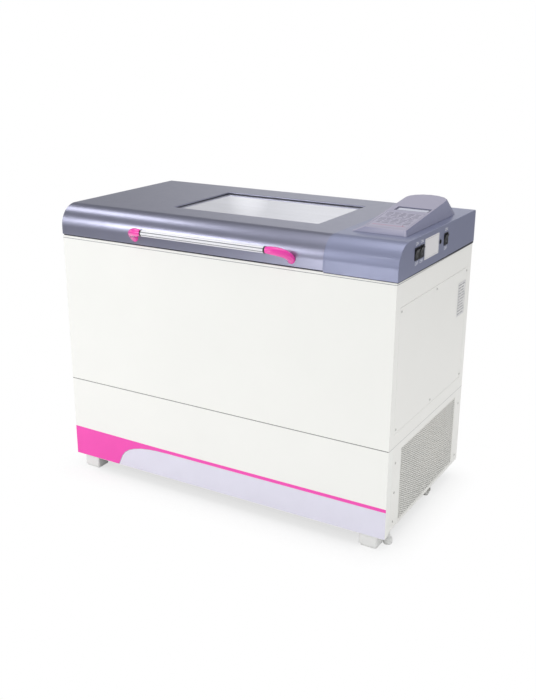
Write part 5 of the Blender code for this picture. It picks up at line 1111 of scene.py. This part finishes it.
def screws(name, places, side):
    """Screw heads at these places, all facing one way."""
    for number, place in enumerate(places, start=1):
        made = new_object(f"{name}_{number}", SCREW)
        made.matrix_world = Matrix.Translation(place) @ FACING[side]
        finished(made, SCREW_PAINT, "cabinet", "zinc")


def side_mesh():
    """Expanded metal: two families of slanted strands, cut off at the rim, in a flat frame."""
    low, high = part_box("vent_grille")
    across, up = grown((low.y, high.y), -MESH_RIM), grown((low.z, high.z), -MESH_RIM)
    run = MESH_LEAN * (up[1] - up[0])
    half = MESH_STRAND * math.hypot(1, MESH_LEAN) / 2
    points, faces = [], []
    for sign, depth in ((1, (low.x, high.x)), (-1, (low.x + THIN, high.x + THIN))):
        count = int((across[1] - across[0] + run) / MESH_PITCH)
        for number in range(count):
            start = across[0] + MESH_PITCH * (number + 0.5) - (run if sign > 0 else 0)
            reaches = sorted(min(max((edge - start) * sign, 0), run) for edge in across)
            if reaches[1] - reaches[0] > MESH_PITCH / 2:
                ends = [(start + sign * reach, up[0] + reach / MESH_LEAN) for reach in reaches]
                strand(points, faces, depth, half, ends)
    made = solid("side_mesh", points, faces)
    finished(made, MESH_PAINT, "cabinet", "panel_white", "vent_grille")
    outer = rectangle((low.y, high.y), (low.z, high.z))
    flat = (low.x, high.x + THIN)
    rim("mesh_rim", outer, rectangle(across, up), flat, MESH_PAINT, "panel_white", MESH_EDGE)


def strand(points, faces, depth, half, ends):
    """Adds one slanted bar between two ends to a mesh's corners and faces."""
    base = len(points)
    for x in depth:
        for y, z in ends:
            points += [(x, y - half, z), (x, y + half, z)]
    for face in ((0, 1, 3, 2), (4, 5, 7, 6), (0, 1, 5, 4), (2, 3, 7, 6), (0, 2, 6, 4), (1, 3, 7, 5)):
        faces.append([base + index for index in face])


# Back


def louvre(number, x, z):
    outline = [(BACK + THIN, z)]
    outline += [(BACK + LOUVRE_PROUD * out, z + LOUVRE_HEIGHT * up) for out, up in LOUVRE_PROFILE_SHARES]
    made = prism(f"louvre_{number}", outline + [(BACK + THIN, z + LOUVRE_HEIGHT)], "X", x)
    softened(made, LOUVRE_EDGE)
    finished(made, WHITE_SHEET, "cabinet", "panel_white")
    # A dark strip under the louvre's hood: painted shade inside its open mouth
    depth = (BACK + THIN / 4, BACK + MOUTH_OUT)
    strip(f"louvre_mouth_{number}", grown(x, -MOUTH_INSET), depth, (z - MOUTH_DROP, z - THIN), SEAL, "rubber")


def back_details():
    number = 0
    for x in LOUVRE_X:
        for row in range(LOUVRES):
            number += 1
            louvre(number, x, LOUVRE_Z + LOUVRE_PITCH * row)
    places = [(x, BACK + THIN, z) for x in BACK_SCREW_X for z in SHEET_SCREW_Z]
    screws("back_screw", places, "back")
    low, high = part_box("power_inlet")
    ears = (grown((low.x, high.x), INLET_EARS[0]), grown((low.z, high.z), INLET_EARS[1]))
    plate = prism("inlet_plate", rounded(*ears, INLET_CORNER), "Y", (BACK + THIN, BACK + INLET_THICKNESS))
    hole = rectangle(grown((low.x, high.x), SEAM), grown((low.z, high.z), OVERRUN))
    carved(plate, [prism("inlet_hole", hole, "Y", (BACK - WELD, BACK + OVERRUN))])
    softened(plate, INLET_EDGE)
    finished(plate, ZINC, "cabinet", "zinc")


# Feet and casters


def wheel(side):
    low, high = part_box(f"caster_wheel_{side}")
    across = centre(low, high, "y", "z")
    radius = (high.z - low.z) / 2
    middle, half = (low.x + high.x) / 2, (high.x - low.x) / 2
    half_profile = [(HUB_RADIUS, -half)]
    half_profile += [(radius - inward, -half + along) for inward, along in TYRE_SHOULDER]
    half_profile += [(radius, -WHEEL_GROOVE), (radius - WHEEL_GROOVE, 0)]
    profile = half_profile + [(reach, -along) for reach, along in half_profile[-2::-1]]
    profile = [(reach, middle + along) for reach, along in profile]
    tyre = turned(f"tyre_{side}", profile, "X", across, sides=56)
    finished(tyre, WHEEL_RUBBER, f"caster_wheel_{side}", "rubber", f"caster_wheel_{side}")
    rise = half + HUB_RISE
    cap = [(HUB_RADIUS, middle - rise), (HUB_RADIUS, middle + rise)]
    hub = turned(f"wheel_hub_{side}", cap, "X", across, sides=40)
    holes = []
    for number in range(HUB_HOLES):
        turn = 2 * math.pi * number / HUB_HOLES
        place = (across[0] + HUB_HOLE_RING * math.cos(turn), across[1] + HUB_HOLE_RING * math.sin(turn))
        outline = circle(place, HUB_HOLE, sides=14)
        holes.append(prism(f"hub_hole_{number}", outline, "X", (low.x - WELD, high.x + WELD)))
    carved(hub, holes)
    softened(hub, HUB_EDGE)
    finished(hub, CASTER_GREY, f"caster_wheel_{side}", "grey_plastic")
    for end, sign in (("in", -1), ("out", 1)):
        profile = stepped(NUT_PROFILE, NUT_RADIUS, middle + sign * (half + NUT_START), sign)
        nut = turned(f"axle_nut_{side}_{end}", profile, "X", across, sides=6)
        finished(nut, CASTER_GREY, f"caster_fork_{side}", "zinc")


def glide():
    """A round levelling pad on a stem, close to the front foot."""
    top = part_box("base_frame")[0].z + STEM_OVERLAP
    profile = stepped(GLIDE_PROFILE, GLIDE_RADIUS) + [(GLIDE_RADIUS * STEM_SHARE, top)]
    for side, sign in (("left", -1), ("right", 1)):
        place = (sign * GLIDE_PLACE[0], GLIDE_PLACE[1])
        made = turned(f"glide_{side}", profile, "Z", place, sides=40)
        finished(made, WHITE_PLASTIC, "cabinet", "foot_white")


# Chamber and machine bay


def wire_ring(name, path, radius, body):
    finished(swept(name, path + path[:1], radius, sides=8), ZINC, body, "zinc")


def fan_guard():
    """Wire rings and spokes over the fan's opening in the duct."""
    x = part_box("air_duct_cover")[0].x - 2 * GUARD_WIRE
    for number, radius in enumerate(GUARD_RADII, start=1):
        path = [(x, a, b) for a, b in circle(GUARD_PLACE, radius, sides=48)]
        wire_ring(f"guard_ring_{number}", path, GUARD_WIRE, "cabinet")
    reach = GUARD_RADII[-1] + SPOKE_OVERHANG
    for number in range(GUARD_SPOKES):
        turn = math.pi * number / GUARD_SPOKES
        across, up = reach * math.cos(turn), reach * math.sin(turn)
        ends = [
            (x + GUARD_WIRE, GUARD_PLACE[0] + sign * across, GUARD_PLACE[1] + sign * up) for sign in (-1, 1)
        ]
        spoke = swept(f"guard_spoke_{number + 1}", ends, GUARD_WIRE, sides=8)
        finished(spoke, ZINC, "cabinet", "zinc")


def clamp_springs():
    """A round spring about each clamp's fingers, and a thumbscrew at each corner of the tray."""
    low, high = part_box("clamp_tray")
    z = low.z + CLAMP_SPRING_RISE
    for column in range(CLAMP_COLUMNS):
        for row in range(CLAMP_ROWS):
            x = low.x + (high.x - low.x) * (2 * column + 1) / (2 * CLAMP_COLUMNS)
            y = low.y + (high.y - low.y) * (2 * row + 1) / (2 * CLAMP_ROWS)
            path = [(a, b, z) for a, b in circle((x, y), CLAMP_SPRING_RADIUS, sides=48)]
            wire_ring(f"clamp_spring_{column * CLAMP_ROWS + row + 1}", path, SPRING_WIRE, "platform")
    profile = stepped(KNOB_PROFILE, KNOB_RADIUS, low.z + TRAY_THICKNESS)
    xs, ys = grown((low.x, high.x), -KNOB_INSET), grown((low.y, high.y), -KNOB_INSET)
    for number, place in enumerate(((x, y) for x in xs for y in ys), start=1):
        knob = turned(f"tray_knob_{number}", profile, "Z", place, sides=24)
        finished(softened(knob, KNOB_EDGE), BLACK, "platform", "black_plastic")


def machine_bay():
    """The compressor's weld seam and terminal box, and the pipe between it and the coil."""
    low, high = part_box("compressor")
    x, y = centre(low, high, "x", "y")
    middle = low.z + COMPRESSOR_SEAM_RISE
    seam = [(COMPRESSOR_RADIUS + out, middle + along) for out, along in COMPRESSOR_SEAM]
    made = turned("compressor_seam", seam, "Z", (x, y), sides=56)
    finished(made, BLACK_ENAMEL, "cabinet", "black_enamel")
    side = (x + COMPRESSOR_RADIUS * TERMINAL_START_SHARE, x + COMPRESSOR_RADIUS + TERMINAL_OUT)
    rise = tuple(middle + step for step in TERMINAL_RISES)
    terminal = box("terminal_box", side, (y - TERMINAL_HALF, y + TERMINAL_HALF), rise)
    finished(softened(terminal, TERMINAL_EDGE, 3), GREY, "cabinet", "grey_plastic")
    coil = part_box("condenser_coil")
    top = high.z + PIPE_RISE
    (near_x, near_y), (far_x, far_y) = ((coil[0].x + a, coil[0].y + b) for a, b in PIPE_END)
    pipe = [(x + a, y + b, high.z + c) for a, b, c in PIPE_START]
    pipe += [
        (near_x, near_y, top), (far_x, far_y, top - PIPE_BEND), (far_x, far_y, coil[1].z - PIPE_ENTRY),
    ]
    finished(swept("discharge_pipe", smooth_path(pipe), PIPE_RADIUS, sides=14), COPPER, "cabinet", "copper")


def smooth_path(points):
    """Cuts a path's corners until it runs round."""
    for _ in range(PIPE_ROUNDS):
        cut = [points[0]]
        for first, second in zip(points, points[1:]):
            a, b = Vector(first), Vector(second)
            cut += [tuple(a.lerp(b, share)) for share in (PIPE_CUT, 1 - PIPE_CUT)]
        points = cut + [points[-1]]
    return points


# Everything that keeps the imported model's own shape, with its finish and the width of its edges

SIDES = ("left", "right")
KEPT = (
    (WHITE_SHEET, 0.0008, ("front_panel", "back_panel")),
    (PLINTH_SHEET, 0.0008, ("plinth_panel",)),
    (SIDE_SHEET, 0.0007, ("left_side_panel", "right_side_panel", "service_cover", "grille_panel")),
    (PLINTH_SHEET, 0.0015, ("top_deck",)),
    (WHITE_PLASTIC, 0.002, [f"front_foot_{side}" for side in SIDES]),
    (CASTER_GREY, 0.0008, [f"caster_fork_{side}" for side in SIDES]),
    (BLACK_ENAMEL, 0.001, [f"strut_cylinder_{side}" for side in SIDES]),
    (ZINC, 0.0006, [f"strut_rod_{side}" for side in SIDES] + ["hinge_base", "hinge_leaf"]),
    (ZINC, 0.001, ("idler_crank_left", "idler_crank_right", "main_crank", "motor_pulley")),
    (FRAME_PAINT, 0.0015, ("base_frame",)),
    (FRAME_PAINT, 0.001, ("drive_base",)),
    (BLACK, 0.0006, ("power_inlet", "rocker_power", "rocker_lamp", "rocker_aux", "reset_button")),
    (STEEL, 0.0006, ("chamber_liner", "air_duct_cover")),
    (STEEL, 0.0005, ("clamp_tray",)),
    (FOAM, 0, ("insulation_jacket",)),
    (DISPLAY_GLASS, 0.0006, ("display_lens",)),
    (KEYPAD_FILM, 0.0004, ("keypad_plate",)),
    (KEYPAD_FILM, 0.0005, [f"key_{number}" for number in range(1, 5)]),
    (GREY, 0.001, ("drive_motor", "circulation_motor")),
    (GREY, 0.0004, ("circulation_fan",)),
    (GREY, 0.0006, ("condenser_fan",)),
    (RUBBER, 0.0005, ("drive_belt",)),
    (ALUMINIUM, 0, ("evaporator_coil",)),
    (ALUMINIUM, 0.0008, ("platform",)),
    (BLACK_ENAMEL, 0.002, ("compressor",)),
    (COIL_FINS, 0, ("condenser_coil",)),
    (LINER_PLASTIC, 0.0008, ("lid_liner",)),
    (PANE, 0.0005, ("window_pane",)),
    (SEAL, 0.001, ("lid_gasket",)),
)


def kept_nodes():
    for finish, edge, nodes in KEPT:
        for node in nodes:
            kept(node, finish, edge)
    kept("console_housing", CONSOLE_PAINT_TOP_LIT, CONSOLE_EDGE, 3)


def outside_details():
    bare_plate("switch_plate", PLATE_Y, PLATE_Z, HOUSING_RIGHT, LABEL)
    bare_plate("rating_plate", RATING_Y, RATING_Z, RIGHT, RATING_LABEL)
    plate_prints()
    screws("side_screw", [(RIGHT + THIN, y, z) for y, z in SIDE_SCREWS], "right")
    screws("left_screw", [(LEFT - THIN, y, z) for y in LEFT_SCREW_Y for z in SHEET_SCREW_Z], "left")


SCREW = screw_shape()
kept_nodes()
lid_cover()
pane_seal()
handle()
housing_cover()
joint_filler()
switches()
display()
keypad_prints()
key_marks()
seams()
plinth_bands()
side_mesh()
outside_details()
back_details()
for wheel_side in SIDES:
    wheel(wheel_side)
glide()
fan_guard()
clamp_springs()
machine_bay()


# Camera, floor and light


def camera():
    azimuth, elevation, roll = (math.radians(x) for x in (CAMERA_AZIMUTH, CAMERA_ELEVATION, CAMERA_ROLL))
    back = Vector((
        math.sin(azimuth) * math.cos(elevation), -math.cos(azimuth) * math.cos(elevation), math.sin(elevation)
    ))
    level = Vector((math.cos(azimuth), math.sin(azimuth), 0))
    rise = back.cross(level)
    right = level * math.cos(roll) + rise * math.sin(roll)
    up = rise * math.cos(roll) - level * math.sin(roll)
    data = bpy.data.cameras.new("camera")
    data.lens = CAMERA_LENS
    made = new_object("camera", data)
    turn = Matrix((right, up, back)).transposed().to_4x4()
    made.matrix_world = Matrix.Translation(CAMERA_PLACE) @ turn
    bpy.context.scene.camera = made


def lamp(name, place, target, size, power):
    data = bpy.data.lights.new(name, "AREA")
    data.shape = "RECTANGLE"
    data.size, data.size_y = size
    data.energy = power
    made = new_object(name, data)
    made.location = place
    aim = Vector(target) - Vector(place)
    made.rotation_euler = aim.to_track_quat("-Z", "Y").to_euler()


def combined(tree, operation, first, second):
    return added(tree, "ShaderNodeMath", first, second, operation=operation).outputs[0]


def length_of(tree, value):
    return added(tree, "ShaderNodeVectorMath", value, operation="LENGTH").outputs["Value"]


def ray_share(tree, *outputs):
    """1 for these kinds of ray and 0 for the rest."""
    rays = added(tree, "ShaderNodeLightPath")
    share = rays.outputs[outputs[0]]
    for output in outputs[1:]:
        share = combined(tree, "MAXIMUM", share, rays.outputs[output])
    return share


def blended(tree, share, first, second):
    return added(tree, "ShaderNodeMixShader", share, first, second).outputs[0]


def background(tree, colour, strength):
    return put(added(tree, "ShaderNodeBackground"), Color=colour, Strength=strength)


def spread_value(tree, value, source, target):
    """Maps a value from one range to another, without leaving the second."""
    made = put(added(tree, "ShaderNodeMapRange", value), From_Min=source[0], From_Max=source[1])
    return put(made, To_Min=target[0], To_Max=target[1]).outputs["Result"]


def towards(tree, direction, azimuth, elevation):
    """How closely a direction points this way, as a cosine."""
    azimuth, elevation = math.radians(azimuth), math.radians(elevation)
    made = added(tree, "ShaderNodeVectorMath", direction, operation="DOT_PRODUCT")
    made.inputs[1].default_value = (
        math.cos(azimuth) * math.cos(elevation), math.sin(azimuth) * math.cos(elevation), math.sin(elevation)
    )
    return made.outputs["Value"]


def patch(tree, direction, place, reach, levels):
    """A level that passes from the first inside the nearer angle to the second beyond the farther."""
    ends = tuple(math.cos(math.radians(angle)) for angle in reach)
    return spread_value(tree, towards(tree, direction, *place), ends[::-1], levels[::-1])


def studio_walls(tree, direction):
    """Bright and dark bands by height, a dark screen at the back and one small bright lamp."""
    height = added(tree, "ShaderNodeSeparateXYZ", direction).outputs["Z"]
    ramp = added(tree, "ShaderNodeValToRGB", spread_value(tree, height, (-1, 1), (0, 1)))
    ramp.color_ramp.interpolation = "EASE"
    elements = ramp.color_ramp.elements
    while len(elements) < len(WALL_BANDS):
        elements.new(0.5)
    for element, (rise, level) in zip(elements, WALL_BANDS):
        element.position = (rise + 1) / 2
        element.color = (level, level, level, 1)
    screen = patch(tree, direction, SCREEN_PLACE, SCREEN_REACH, (SCREEN_LEVEL, 1.0))
    lit = combined(tree, "MULTIPLY", ramp.outputs["Color"], screen)
    return combined(tree, "ADD", lit, patch(tree, direction, GLINT_PLACE, GLINT_REACH, (GLINT_LEVEL, 0.0)))


def surroundings():
    """White all round, even light on the machine, and studio walls that only show in reflections."""
    world = bpy.data.worlds.new("studio")
    world.use_nodes = True
    tree = world.node_tree
    tree.nodes.remove(tree.nodes["Background"])
    plain = background(tree, AMBIENT_COLOUR, AMBIENT)
    white = background(tree, (1, 1, 1, 1), 1.0)
    mirrored = background(tree, WALL_COLOUR, 1.0)
    direction = added(tree, "ShaderNodeTexCoord").outputs["Generated"]
    tree.links.new(studio_walls(tree, direction), mirrored.inputs["Strength"])
    shown = blended(tree, ray_share(tree, "Is Glossy Ray"), plain.outputs[0], mirrored.outputs[0])
    shown = blended(tree, ray_share(tree, "Is Camera Ray", "Is Transmission Ray"), shown, white.outputs[0])
    tree.links.new(shown, tree.nodes["World Output"].inputs["Surface"])
    bpy.context.scene.world = world


def beyond_footprint(tree, value):
    """How far a point of the floor lies outside the machine's footprint."""
    for operation, second in (("ABSOLUTE", None), ("SUBTRACT", FOOTPRINT), ("MAXIMUM", (0, 0, 0))):
        step = added(tree, "ShaderNodeVectorMath", value, operation=operation)
        if second:
            step.inputs[1].default_value = second
        value = step.outputs[0]
    return length_of(tree, value)


def stage_piece(name, points):
    """A flat sheet of the studio with an empty material, and the material's tree."""
    made = solid(name, points, [range(len(points))])
    material = bpy.data.materials.new(name)
    material.use_nodes = True
    made.data.materials.append(material)
    material.node_tree.nodes.remove(material.node_tree.nodes["Principled BSDF"])
    return material.node_tree


def surfaced(tree, shown):
    tree.links.new(shown, tree.nodes["Material Output"].inputs["Surface"])


def floor():
    """A round white floor that keeps the machine's soft shadow close by and fades into white beyond it."""
    tree = stage_piece("floor", [(a, b, 0) for a, b in circle((0, 0), FLOOR_REACH, sides=96)])
    place = added(tree, "ShaderNodeTexCoord").outputs["Object"]
    paper = put(added(tree, "ShaderNodeBsdfDiffuse"), Color=(PAPER, PAPER, PAPER, 1))
    sheet = spread_value(tree, length_of(tree, place), SHEET_REACH, (PAPER, PAPER_MIRRORED))
    mirrored = added(tree, "ShaderNodeBsdfDiffuse", sheet)
    fade = spread_value(tree, beyond_footprint(tree, place), FLOOR_FADE, FLOOR_SHARES)
    lit = blended(tree, fade, paper.outputs[0], added(tree, "ShaderNodeEmission").outputs[0])
    shown = blended(tree, ray_share(tree, "Is Glossy Ray"), paper.outputs[0], mirrored.outputs[0])
    surfaced(tree, blended(tree, ray_share(tree, "Is Camera Ray", "Is Transmission Ray"), shown, lit))


def card():
    """A lit sheet on the floor before the machine that only the paints' reflections show."""
    tree = stage_piece("card", [(x, y, CARD_HEIGHT) for x, y in CARD])
    glow = put(added(tree, "ShaderNodeEmission"), Strength=CARD_LEVEL)
    unseen = added(tree, "ShaderNodeBsdfTransparent")
    surfaced(tree, blended(tree, ray_share(tree, "Is Glossy Ray"), unseen.outputs[0], glow.outputs[0]))


camera()
surroundings()
floor()
card()
for settings in LAMPS:
    lamp(*settings)
bpy.context.scene.view_settings.view_transform = "Standard"
